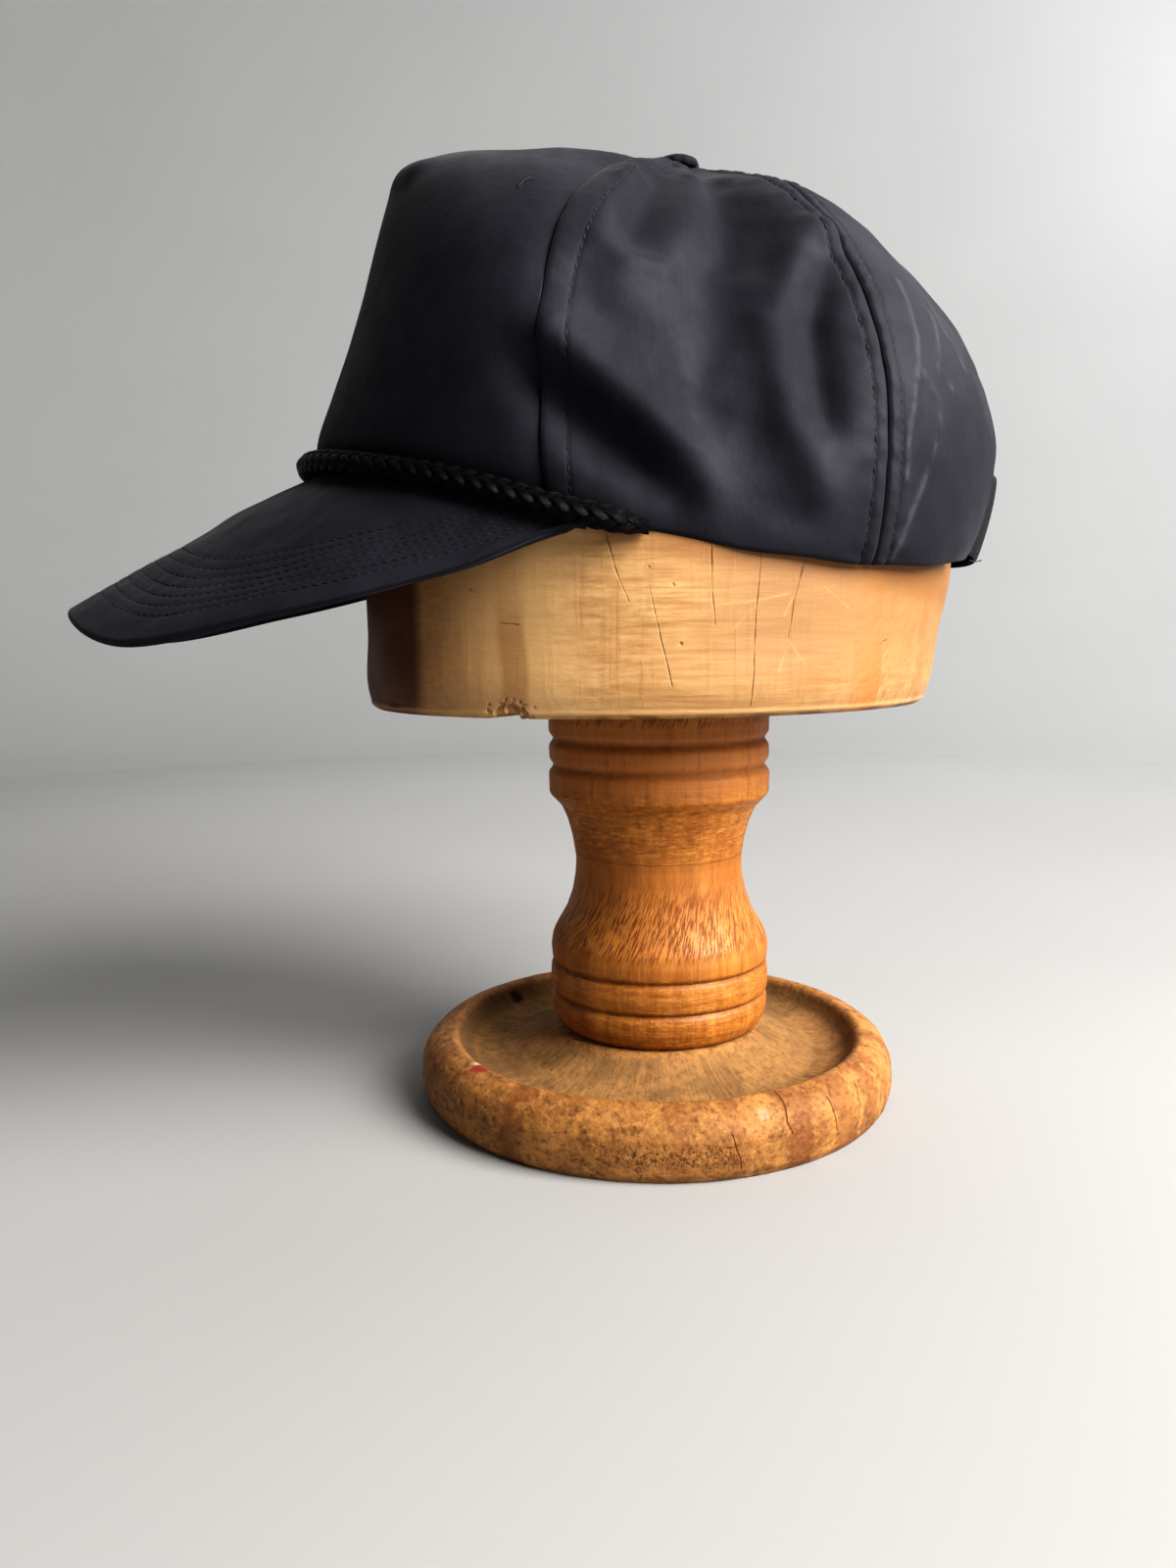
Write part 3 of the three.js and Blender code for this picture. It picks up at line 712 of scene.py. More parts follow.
class Nodes:
    """A node tree with short ways to add to it."""

    def __init__(self, tree):
        self.tree = tree

    def feed(self, node, inputs):
        """Links each input that is a field or a socket, and sets any other on the node itself."""
        for key, value in inputs.items():
            value = getattr(value, "socket", value)
            if isinstance(value, bpy.types.NodeSocket):
                self.tree.links.new(value, node.inputs[key])
            else:
                node.inputs[key].default_value = value

    def add(self, kind, inputs=None, **settings):
        """A node with its settings and inputs."""
        node = self.tree.nodes.new(kind)
        for key, value in settings.items():
            setattr(node, key, value)
        self.feed(node, inputs or {})
        return node

    def fields(self, node):
        """Outputs of a node by name."""
        return {socket.name: Field(self, socket) for socket in node.outputs}

    def math(self, operation, *values, clamp=False):
        node = self.add("ShaderNodeMath", dict(enumerate(values)), operation=operation, use_clamp=clamp)
        return Field(self, node.outputs[0])

    def vector(self, operation, *values, **named):
        """Outputs of a vector sum: the vector, and the number of a length or product."""
        inputs = {**dict(enumerate(values)), **named}
        return self.fields(self.add("ShaderNodeVectorMath", inputs, operation=operation))

    def joined(self, *numbers):
        """Numbers as a vector."""
        return self.add("ShaderNodeCombineXYZ", dict(enumerate(numbers))).outputs[0]

    def parts(self, vector):
        """A vector's three numbers."""
        return self.fields(self.add("ShaderNodeSeparateXYZ", {0: vector})).values()

    def noise(self, vector, scale, detail=3.0, rough=0.55, distort=0.0):
        inputs = {"Vector": vector, "Scale": scale, "Detail": detail, "Roughness": rough,
                  "Distortion": distort}
        return Field(self, self.add("ShaderNodeTexNoise", inputs).outputs[0])

    def stretch(self, vector, scale, turn=(0, 0, 0)):
        inputs = {"Vector": vector, "Scale": scale, "Rotation": turn}
        return self.add("ShaderNodeMapping", inputs).outputs[0]

    def use(self, group, **inputs):
        """Outputs of a placed group by name."""
        return self.fields(self.add("ShaderNodeGroup", spaced(inputs), node_tree=group))


class Group(Nodes):
    """A shader group in the making; an input given as None is a vector, any other a number."""

    def __init__(self, name, **inputs):
        super().__init__(bpy.data.node_groups.new(name, "ShaderNodeTree"))
        for label, value in spaced(inputs).items():
            kind = "NodeSocketVector" if value is None else "NodeSocketFloat"
            socket = self.tree.interface.new_socket(label, in_out="INPUT", socket_type=kind)
            if value is not None:
                socket.default_value = value
        self.given = self.fields(self.add("NodeGroupInput"))

    def give(self, **results):
        """The finished group, which hands out the results under their names."""
        for label in results:
            self.tree.interface.new_socket(label, in_out="OUTPUT", socket_type="NodeSocketFloat")
        self.feed(self.add("NodeGroupOutput"), results)
        return self.tree


class Look(Nodes):
    """A material in the making: its shader, the places on its piece and its colour so far."""

    def __init__(self, name, roughness, specular=0.5, **sockets):
        self.material = bpy.data.materials.new(name)
        self.material.use_nodes = True
        super().__init__(self.material.node_tree)
        self.shader = self.tree.nodes["Principled BSDF"]
        self.feed(self.shader, {"Roughness": roughness, "Specular IOR Level": specular, **spaced(sockets)})
        place = self.add("ShaderNodeTexCoord").outputs
        self.body = place["Object"]
        self.map = place["UV"]
        self.colour = None

    def blend(self, share, first, second):
        """Sets the colour between two, by a share."""
        node = self.add("ShaderNodeMix", {0: share, 6: first, 7: second}, data_type="RGBA")
        self.colour = node.outputs[2]

    def paint(self, *rows):
        """Moves the colour toward tones; a row has a mask, the share of it that counts and the tone."""
        for mask, share, tone in rows:
            self.blend(mask * share, self.colour, tone)

    def cloud(self, scale, *how):
        """Noise on the piece's own place."""
        return self.noise(self.body, scale, *how)

    def streak(self, stretch, scale, *how):
        """Noise on the piece's place stretched by three numbers."""
        return self.noise(self.stretch(self.body, stretch), scale, *how)

    def wood(self, stretch, fibre_scale, rub_scale):
        """Wood figure along a stretched grain, and rubbed lines."""
        grain = self.stretch(self.body, stretch)
        return (self.use(WOOD, Grain=grain, Place=self.body, Fibre_Scale=fibre_scale),
                self.use(RUBBED, Place=self.body, Scale=rub_scale))

    def attribute(self, name):
        """Number kept on the points of the mesh."""
        return Field(self, self.add("ShaderNodeAttribute", attribute_name=name).outputs["Fac"])

    def millimetres(self):
        """Place in millimetres."""
        return self.vector("SCALE", self.body, Scale=1 / MM)["Vector"]

    def flat_map(self, across, up, wobble):
        """Two numbers as a map whose lines wobble a little."""
        drift = self.add("ShaderNodeTexNoise", {"Vector": self.body, "Scale": 150.0}).outputs["Color"]
        bent = self.vector("MULTIPLY_ADD", drift, (*wobble, 0), self.joined(across, up))["Vector"]
        return self.vector("MULTIPLY", bent, (1, 1, 0))["Vector"]

    def scored(self, lines_map, table):
        """Largest of several scored-line masks; the table has start, end and width."""
        total = None
        for start, end, width in table:
            inputs = {"Map": lines_map, "Start": (*start, 0), "End": (*end, 0), "Width": width}
            mask = self.use(SCORED, **inputs)["Mask"]
            total = mask if total is None else total.math("MAXIMUM", mask)
        return total

    def finish(self, *bumps, rough=None):
        """Material with its colour, roughness and a row of bumps: height, depth in metres, strength."""
        inputs = {"Base Color": self.colour}
        if rough:
            inputs["Roughness"] = rough
        for height, depth, strength in bumps:
            bump = {"Height": height, "Distance": depth, "Strength": strength}
            if "Normal" in inputs:
                bump["Normal"] = inputs["Normal"]
            inputs["Normal"] = self.add("ShaderNodeBump", bump).outputs[0]
        self.feed(self.shader, inputs)
        return self.material


def weave_group():
    """Plain weave on a map in millimetres: warp and weft humps that change places cell by cell."""
    group = Group("plain_weave", Map=None, Pitch=0.5)
    across, up, _ = group.parts(group.given["Map"])
    turn = group.math("DIVIDE", 2 * math.pi, group.given["Pitch"])
    warp, weft = (group.math("SINE", way * turn) for way in (across, up))
    slub = group.noise(group.stretch(group.given["Map"], (0.9, 0.06, 1)), 1.0, 2.0)
    return group.give(Height=(warp * weft).math("MULTIPLY_ADD", 0.5, 0.5), Shade=slub)


def lint_group():
    """Sparse pale specks: a few cells of a scattered pattern, cut to a small ragged spot."""
    group = Group("lint_specks", Vector=None, Scale=70.0, Share=0.1)
    place = group.given["Vector"]
    bent = group.noise(place, 900.0, 2.0)
    cell = group.fields(group.add("ShaderNodeTexVoronoi", {"Vector": place, "Scale": group.given["Scale"]}))
    red = group.add("ShaderNodeSeparateColor", {0: cell["Color"]}).outputs[0]
    chosen = group.math("LESS_THAN", red, group.given["Share"])
    ragged = bent.math("MULTIPLY_ADD", 0.05, cell["Distance"])
    return group.give(Mask=chosen * ragged.span(0.045, 0.062, 1.0, 0.0))


def wood_group():
    """Wood figure: long fibres on a stretched vector, slower bands, blotches and short pores."""
    group = Group("wood_figure", Grain=None, Place=None, Fibre_Scale=300.0)
    grain, scale = group.given["Grain"], group.given["Fibre Scale"]
    fibre = group.noise(grain, scale, 6.0, 0.68)
    band = group.noise(grain, scale * 0.16, 3.0, 0.5, 0.6)
    blotch = group.noise(group.given["Place"], 38.0, 4.0, 0.6)
    pore = group.noise(grain, scale * 2.1, 2.0, 0.5)
    return group.give(Fibre=fibre.span(0.25, 0.75), Band=band.span(0.3, 0.7),
                      Blotch=blotch.span(0.32, 0.68), Pore=pore.span(0.6, 0.72))


def scored_group():
    """Mask of one scored line: distance to a straight piece between two points on a map."""
    group = Group("scored_line", Map=None, Start=None, End=None, Width=0.4)
    start = group.given["Start"]
    ahead = group.vector("SUBTRACT", group.given["End"], start)["Vector"]
    off = group.vector("SUBTRACT", group.given["Map"], start)["Vector"]
    along = group.vector("DOT_PRODUCT", off, ahead)["Value"]
    share = group.math("DIVIDE", along, group.vector("DOT_PRODUCT", ahead, ahead)["Value"], clamp=True)
    foot = group.vector("SCALE", ahead, Scale=share)["Vector"]
    gap = group.vector("LENGTH", group.vector("SUBTRACT", off, foot)["Vector"])["Value"]
    return group.give(Mask=gap.span(0.0, group.given["Width"], 1.0, 0.0))


def scuff_group():
    """Fine rubbed lines and grit: two crossed stretched noises, cut to their brightest part."""
    group = Group("rubbed_lines", Place=None, Scale=60.0)
    place, scale = group.given["Place"], group.given["Scale"]
    level = group.noise(group.stretch(place, (0.25, 0.25, 9)), scale, 4.0, 0.6)
    upright = group.noise(group.stretch(place, (5, 5, 0.3)), scale, 4.0, 0.6)
    grit = group.noise(place, scale * 14.0, 2.0, 0.6)
    return group.give(Level=level.span(0.5, 0.72), Upright=upright.span(0.5, 0.72),
                      Grit=grit.span(0.3, 0.7))


WEAVE, LINT, WOOD = weave_group(), lint_group(), wood_group()
SCORED, RUBBED = scored_group(), scuff_group()


# Materials


def rgb(red, green, blue):
    return (red, green, blue, 1.0)


CLOTH_DARK, CLOTH_PALE = rgb(0.0095, 0.0097, 0.0148), rgb(0.0222, 0.0222, 0.0308)
WORN_GREY, LINT_GREY = rgb(0.085, 0.085, 0.098), rgb(0.24, 0.23, 0.23)
DEEP_BLACK = rgb(0.004, 0.004, 0.006)
THREAD_PALE, STRAP_PALE = rgb(0.015, 0.015, 0.019), rgb(0.011, 0.011, 0.013)
YARN_DARK, YARN_PALE = rgb(0.0012, 0.0012, 0.0016), rgb(0.005, 0.005, 0.006)


def cloth_material(name, lint_share):
    """Worn dark poplin: weave on the cloth's own map, faded patches, pale creases and lint."""
    look = Look(name, 0.66, 0.15, Sheen_Weight=0.05, Sheen_Roughness=0.4)
    weave = look.use(WEAVE, Map=look.map, Pitch=0.62)
    faded = look.cloud(26.0, 4.0, 0.6).span(0.35, 0.7)
    broken = look.cloud(120.0, 4.0, 0.65).span(0.36, 0.56)
    lint = look.use(LINT, Vector=look.body, Scale=85.0, Share=lint_share)["Mask"]
    look.blend(weave["Shade"].math("MULTIPLY_ADD", 0.5, faded * 0.6), CLOTH_DARK, CLOTH_PALE)
    # The gaps between threads are darkened toward near black: painted shade
    look.blend(weave["Height"].span(0.0, 0.5, 0.3, 0.0, "LINEAR"), look.colour, DEEP_BLACK)
    look.paint((look.attribute("worn") * broken, 0.45, WORN_GREY), (lint, 0.55, LINT_GREY))
    return look.finish((look.cloud(420.0, 3.0), 0.0004, 0.3), (weave["Height"], 0.00009, 0.45),
                       rough=faded.span(0.0, 1.0, 0.74, 0.6))


def cord_material():
    """Glossy dark yarn: thin fibres along each strand from its own map."""
    look = Look("braided_cord", 0.3, 0.12)
    fibre = look.noise(look.stretch(look.map, (7, 0.35, 1)), 1.0, 3.0, 0.6)
    look.blend(fibre, YARN_DARK, YARN_PALE)
    return look.finish((fibre, 0.0004, 0.9), rough=fibre.span(0.3, 0.7, 0.42, 0.2))


def thread_material():
    """Twisted sewing thread, darker and smoother than the cloth."""
    look = Look("sewing_thread", 0.55, 0.4)
    twist = look.cloud(1400.0, 2.0)
    look.blend(twist, DEEP_BLACK, THREAD_PALE)
    return look.finish((twist, 0.0002, 0.5))


def strap_material():
    """Dark moulded strap with a fine grain and rubbed marks."""
    look = Look("moulded_strap", 0.55, 0.2)
    rubbed = look.use(RUBBED, Place=look.body, Scale=60.0)
    look.blend(rubbed["Level"], DEEP_BLACK, STRAP_PALE)
    return look.finish((rubbed["Grit"], 0.00012, 0.35), rough=rubbed["Grit"].span(0.0, 1.0, 0.5, 0.62))


# Cracks and rubbed lines on the near side of the block, as Y and Z of both ends, and width
BLOCK_CRACKS = (
    ((-37.1, 190), (-33.4, 176.1), 0.4), ((-33.4, 176.1), (-30.4, 168.1), 0.28),
    ((-24.8, 172.1), (-22.7, 162.4), 0.26), ((-22.7, 162.4), (-18.6, 145), 0.3),
    ((-8.4, 186), (-8, 173.6), 0.42), ((-8, 173.6), (-6.9, 161.6), 0.28),
    ((6.2, 182), (5, 165.4), 0.3), ((5, 165.4), (4.2, 139), 0.3),
    ((19.6, 180), (16.3, 167.6), 0.45), ((16.3, 167.6), (15.1, 157.7), 0.28),
    ((46, 154.9), (50.6, 156.7), 0.4), ((-62.5, 162.6), (-58, 162), 0.4),
    ((-18.4, 172.6), (-18.2, 172.4), 0.7), ((-16.2, 156.7), (-16.1, 156.5), 0.7),
    ((-70.1, 172.1), (-69.9, 172), 0.7), ((-25, 177.3), (-24.8, 177.2), 0.5),
)
BLOCK_RUBS = (
    ((-7.5, 166.9), (5.1, 168.1), 0.5), ((5.1, 168.1), (15.6, 170.1), 0.5),
    ((16.4, 169.4), (13.5, 164.1), 0.55), ((14.4, 154.4), (12.3, 148.7), 0.6),
    ((14.8, 157.6), (21, 150), 0.4), ((-44, 146), (-33, 151), 0.4), ((-29, 158), (-24, 146), 0.35),
    ((26, 172), (35, 166), 0.4), ((-2, 160), (4, 166), 0.35), ((-30.8, 168), (-29.5, 164.5), 0.5),
)
HONEY_PALE, HONEY = rgb(0.59, 0.385, 0.185), rgb(0.405, 0.225, 0.09)
HONEY_PAINTED_SHADE, HONEY_DEEP = rgb(0.275, 0.148, 0.058), rgb(0.245, 0.11, 0.034)
HONEY_RED = rgb(0.4, 0.14, 0.032)
END_BROWN_AND_SHADE, CRACK_BROWN = rgb(0.08, 0.018, 0.004), rgb(0.085, 0.026, 0.007)


def block_material():
    """Honey wood with level fibres, upright growth bands, curly flecks, cracks and rubbed lines."""
    look = Look("honey_block", 0.5, 0.36)
    x, y, z = look.parts(look.millimetres())
    wood, rubbed = look.wood((1.0, 0.07, 1.0), 420.0, 55.0)
    streak = look.streak((0.5, 0.02, 1.7), 520.0, 2.0, 0.5)
    look.blend(wood["Fibre"], HONEY, HONEY_PALE)
    look.paint(
        (look.cloud(62.0, 5.0, 0.62).span(0.36, 0.66), 0.5, HONEY),
        (streak.span(0.5, 0.72), 0.4, HONEY_DEEP),
        (streak.span(0.46, 0.3), 0.4, HONEY_PALE),
        (wood["Band"], 0.25, HONEY_DEEP),
        (rubbed["Level"], 0.45, HONEY_PALE),
        (rubbed["Upright"], 0.2, HONEY_DEEP))
    # Curly grain toward the back, in pale and deep flecks
    leaned = look.stretch(look.stretch(look.body, (1, 1, 1), (0.62, 0, 0)), (1.2, 2.0, 0.5))
    curl = look.noise(leaned, 330.0, 4.0, 0.6, 0.9)
    back = y.span(18.0, 52.0)
    look.paint(
        (curl.span(0.52, 0.66) * back, 0.6, HONEY_PALE),
        (curl.span(0.48, 0.34) * back, 0.7, HONEY_DEEP))
    # Painted shade from the middle to the back, painted light toward the front, and a painted shadow just
    # under the hem
    hem_shadow = y.math("MULTIPLY_ADD", 0.13, z).span(173.0, 181.0)
    look.paint(
        (y.span(-26.0, 14.0) * z.span(138.0, 158.0, 0.5, 1.0), 0.85, HONEY_PAINTED_SHADE),
        (y.between(-76.0, -46.0, 9.0), 0.75, HONEY_PALE),
        (hem_shadow * y.span(-45.0, -10.0), 0.8, HONEY_DEEP))
    # Growth bands that stand upright where the curved face cuts them, and a left end darkened, partly by
    # the wood's own tone and partly by painted shade
    wander = look.cloud(45.0, 2.0).math("MULTIPLY_ADD", 4.0, -2.0) + y
    ruddy = wander.span(32.0, 46.0) * wander.span(48.2, 49.2, 1.0, 0.0)
    look.paint(
        (y.span(-40.0, -82.0), 0.4, HONEY_DEEP),
        (wander.between(-63.6, -56.8, 1.2) * z.span(174.0, 156.0, 0.25, 1.0), 0.5, HONEY_DEEP),
        (ruddy * z.span(144.0, 164.0, 1.0, 0.15), 0.7, HONEY_RED),
        (wander.between(68.0, 72.0, 2.5), 0.35, HONEY_DEEP),
        (y.span(-81.6, -85.4), 0.9, END_BROWN_AND_SHADE))
    # Cracks and rubbed lines on the near side, a pale line and a darker band along the lower edge, and a
    # fresh chip
    lines_map = look.flat_map(y, z, (0.6, 0.6))
    near = x.math("GREATER_THAN", 0.0)
    uneven = look.cloud(210.0, 3.0).span(0.35, 0.62, 0.25, 1.0)
    crack = look.scored(lines_map, BLOCK_CRACKS) * near * uneven
    rub = look.scored(lines_map, BLOCK_RUBS) * near * uneven
    chip = look.attribute("chip")
    look.paint(
        (rub, 0.3, HONEY_PALE),
        (crack, 0.75, CRACK_BROWN),
        (z.between(136.6, 137.8, 0.5), 0.35, HONEY_PALE),
        (z.span(137.2, 135.8) * look.cloud(90.0, 3.0).span(0.4, 0.65), 0.75, CRACK_BROWN),
        (chip, 0.6, HONEY_PALE),
        (chip * look.cloud(520.0, 3.0).span(0.42, 0.58), 0.6, HONEY_DEEP))
    return look.finish((wood["Fibre"], 0.0002, 0.3), (crack, -0.0003, 0.7),
                       (rubbed["Upright"], 0.0002, 0.25),
                       rough=wood["Blotch"].span(0.0, 1.0, 0.44, 0.58))


ORANGE, ORANGE_PALE = rgb(0.345, 0.12, 0.019), rgb(0.55, 0.25, 0.055)
ORANGE_DEEP = rgb(0.12, 0.031, 0.005)
RING_BROWN, GROOVE_DIRT_AND_SHADE = rgb(0.43, 0.17, 0.052), rgb(0.075, 0.02, 0.004)

# Torn strokes: lean in radians and length per millimetre of height, and fineness round the column
STROKE_LEAN, STROKE_RUN, STROKE_SCALE = -0.011, 0.0042, 60.0


def column_material():
    """Orange turned wood: upright fibres, dark grooves, pale flecks round the coves, torn strokes."""
    look = Look("orange_column", 0.5, 0.34)
    x, y, z = look.parts(look.millimetres())
    wood, rubbed = look.wood((1.0, 1.0, 0.08), 480.0, 70.0)
    # Pale and deep flecks in the upper cove and on the foot rings, rubbed lines on the rings
    fleck = look.streak((0.55, 0.55, 2.4), 420.0, 5.0, 0.68)
    foot = z.span(50.0, 46.0) * 0.7
    where = z.between(84.0, 107.0, 5.0).math("MAXIMUM", foot)
    pale = fleck.span(0.53, 0.61) * where
    rings = z.span(103.0, 106.0)
    look.blend(wood["Fibre"], ORANGE, ORANGE_PALE)
    look.paint(
        (wood["Blotch"], 0.6, ORANGE),
        (wood["Band"], 0.35, ORANGE_DEEP),
        (z.span(104.0, 112.0), 0.55, RING_BROWN),
        (pale, 0.6, ORANGE_PALE),
        (fleck.span(0.47, 0.37) * where, 0.5, ORANGE_DEEP),
        (rubbed["Level"] * foot, 0.45, ORANGE_DEEP),
        (rubbed["Level"] * rings, 0.4, ORANGE_PALE),
        (rubbed["Upright"] * rings, 0.35, ORANGE_DEEP))
    # Torn grain low on the waist and at the top: fine strokes on the direction from the axis, turned
    # with the height
    spoke = look.vector("NORMALIZE", look.joined(x, y.math("SUBTRACT", COLUMN_OFF)))["Vector"]
    lean = look.add("ShaderNodeVectorRotate", {"Vector": spoke, "Angle": z * STROKE_LEAN},
                    rotation_type="Z_AXIS")
    strokes_map = look.vector("ADD", lean.outputs[0], look.joined(0.0, 0.0, z * STROKE_RUN))["Vector"]
    torn = look.noise(strokes_map, STROKE_SCALE, 2.0, 0.5)
    waist = z.span(50.5, 57.0) * z.span(64.0, 82.0, 1.0, 0.0)
    stroke = torn.span(0.5, 0.62) * waist.math("MAXIMUM", z.span(127.8, 131.4))
    dirt_and_shade = look.cloud(260.0, 3.0).span(0.2, 0.6, 0.5, 1.0)
    look.paint(
        (torn.span(0.48, 0.36) * waist, 0.35, ORANGE_PALE),
        (stroke, 0.72, ORANGE_DEEP),
        (z.between(83.7, 84.1, 0.25), 0.5, ORANGE_DEEP),
        # Grooves darkened unevenly: dirt together with painted shade in the recesses
        (look.attribute("groove") * dirt_and_shade, 0.5, GROOVE_DIRT_AND_SHADE))
    return look.finish((wood["Fibre"], 0.0002, 0.3), (stroke, -0.0003, 0.7), (pale, 0.0003, 0.4),
                       (rubbed["Grit"], 0.0001, 0.2), rough=wood["Blotch"].span(0.0, 1.0, 0.46, 0.62))


BROWN, BROWN_PALE = rgb(0.19, 0.082, 0.025), rgb(0.43, 0.215, 0.07)
BROWN_DEEP, BROWN_RED = rgb(0.08, 0.029, 0.009), rgb(0.165, 0.055, 0.018)
DUST, DUST_DEEP = rgb(0.255, 0.15, 0.063), rgb(0.095, 0.056, 0.025)
KNOT_BROWN = rgb(0.02, 0.008, 0.004)
PAINT_RED, CHALK = rgb(0.23, 0.022, 0.02), rgb(0.62, 0.5, 0.36)
# Cracks in the base's wall, as degrees round from +X and height of both ends, and width
BASE_CRACKS = (
    ((13.5, 21.9), (12.4, 16), 0.4), ((12.4, 16), (13.2, 12.5), 0.3), ((25, 19), (26, 9), 0.25),
    ((36, 19), (33, 6), 0.22), ((-0.5, 15), (1.5, 4), 0.22),
)
# Growth bands in the base's wall: two angles, softness and strength
BASE_BANDS = (
    (-52, -47, 1.0, 0.8), (-14.5, -11, 1.6, 0.45), (-1.5, 2, 1.2, 0.5), (12, 18.5, 0.9, 0.75),
    (20, 22, 0.8, 0.3), (25, 33, 0.9, 0.6), (37, 42, 1.2, 0.5), (47, 50, 1.0, 0.45), (62, 69, 1.6, 0.6),
    (95, 99, 1.2, 0.6), (124, 133, 1.6, 0.65), (160, 165, 1.4, 0.6), (-88, -80, 2.0, 0.5),
    (-121, -116, 1.4, 0.6), (-160, -150, 1.6, 0.6),
)
BAND_SHARE = 0.75
# Spots on the base, as place, size, strength and tone: paint, chalk fleck, scuff and knot
BASE_SPOTS = (
    ((27.5, -66.2, 21.4), 5.2, 0.85, PAINT_RED), ((23.8, -67.4, 21.4), 2.0, 0.7, CHALK),
    ((78.2, 9.5, 18.4), 2.6, 0.22, CHALK), ((-53.5, -40.2, 17.6), 4.0, 0.95, KNOT_BROWN),
)


def base_material():
    """Mottled brown wood: growth bands round the wall, a dusty dish, cracks, paint and rubbed lip."""
    look = Look("brown_base", 0.62, 0.24)
    place = look.millimetres()
    x, y, z = look.parts(place)
    angle = y.math("ARCTAN2", x) * (180 / math.pi)
    radius = look.math("SQRT", x * x + y * y)
    wood, rubbed = look.wood((0.35, 0.9, 0.8), 260.0, 60.0)
    speckle = look.streak((0.8, 1.0, 1.4), 430.0, 4.0, 0.65)
    fleck = look.streak((0.8, 0.8, 1.1), 480.0, 5.0, 0.7)
    look.blend(look.cloud(55.0, 8.0, 0.72).span(0.38, 0.62), BROWN, BROWN_PALE)
    look.paint(
        (speckle.span(0.52, 0.66), 0.5, BROWN_PALE),
        (speckle.span(0.46, 0.32), 0.4, BROWN_DEEP),
        (wood["Band"], 0.4, BROWN),
        (wood["Fibre"], 0.35, BROWN_PALE),
        (wood["Pore"], 0.6, BROWN_DEEP),
        (fleck.span(0.52, 0.62), 0.65, BROWN_PALE),
        (fleck.span(0.47, 0.37), 0.5, BROWN_DEEP))
    # Growth bands that stand upright in the wall, with ragged edges
    wander = look.cloud(95.0, 6.0, 0.72).math("MULTIPLY_ADD", 14.0, -7.0) + angle
    wall = radius.span(69.5, 73.0)
    for low, high, soft, share in BASE_BANDS:
        look.paint((wander.between(low, high, soft) * wall, BAND_SHARE * share, BROWN_RED))
    # Torn grain low on the near wall
    patch = angle.between(-32.0, 0.0, 5.0) * z.between(5.5, 11.5, 2.0)
    pits = look.streak((1, 1, 0.8), 950.0, 3.0, 0.6).span(0.52, 0.64) * patch * wall
    # Dust lying in the dish, clouded and streaked outward, and cracks in the wall
    dish = radius.span(73.0, 66.5) * z.span(24.5, 20.0)
    rays = look.noise(look.flat_map(angle * 0.9, radius * 0.06, (0, 0)), 1.0, 5.0, 0.65)
    crack = look.scored(look.flat_map(angle, z, (0.9, 0.6)), BASE_CRACKS) * wall
    look.paint(
        (pits, 0.65, BROWN_DEEP),
        (dish, 0.7, DUST),
        (look.cloud(48.0, 5.0, 0.6).span(0.48, 0.62) * dish, 0.5, DUST_DEEP),
        (speckle.span(0.5, 0.36) * dish, 0.35, DUST_DEEP),
        (rays.span(0.5, 0.64) * dish, 0.3, DUST_DEEP),
        (rays.span(0.48, 0.36) * dish, 0.25, BROWN_PALE),
        (radius.between(64.5, 70.5, 1.5) * z.span(21.2, 19.0), 0.45, DUST_DEEP),
        (crack, 0.6, CRACK_BROWN))
    # Ragged spots and a rubbed lip
    ragged = look.cloud(420.0, 3.0)
    for spot, size, share, tone in BASE_SPOTS:
        reach = look.vector("LENGTH", look.vector("SUBTRACT", place, spot)["Vector"])["Value"]
        edge = ragged.math("MULTIPLY_ADD", -size * 1.2, reach)
        look.paint((edge.span(-size * 0.2, size * 0.35, 1.0, 0.0), share, tone))
    lip = radius.between(68.8, 71.6, 0.8) * z.span(19.0, 21.0)
    look.paint((lip * rubbed["Upright"], 0.5, BROWN_PALE))
    return look.finish((look.cloud(300.0, 5.0, 0.65), 0.0009, 0.5), (fleck, 0.0004, 0.5),
                       (pits, -0.0006, 0.8), (crack, -0.0005, 0.8),
                       rough=dish.span(0.0, 1.0, 0.6, 0.85))


# Cloth pieces

cloth = cloth_material("cap_cloth", 0.06)
peak_cloth = cloth_material("peak_cloth", 0.14)
thread = thread_material()
SEAM_ROWS = slice(4, int(PANEL_ROWS * 0.93))
SEAM_STITCH_HEIGHT, PEAK_STITCH_HEIGHT = 0.5, 0.45

seam_lines, seam_normals = [], []
for name, panel in PANELS.items():
    outer, inner, cloth_map, worn = panel_surface(name)
    points, quads = shell(outer, inner)
    piece = put_mesh(name + "_cloth", points, quads, uv=np.concatenate([cloth_map.reshape(-1, 2)] * 2),
                     layers={"worn": np.concatenate([worn.ravel(), 0 * worn.ravel()])})
    dress(piece, cloth, "cap_cloth", name)
    normals = grid_normals(outer)
    for side, edge in enumerate(panel["edges"]):
        reach = SEAM_EDGES[edge]["stitch"]
        if not reach:
            continue
        column = int(round(reach / EDGE_ZONE * (EDGE_COLUMNS - 1)))
        column = column if side == 0 else outer.shape[1] - 1 - column
        seam_lines.append(outer[SEAM_ROWS, column])
        seam_normals.append(normals[SEAM_ROWS, column])
piece = put_mesh("seam_stitching", *stitch_rows(seam_lines, seam_normals, SEAM_STITCH_HEIGHT))
dress(piece, thread, "cap_cloth")

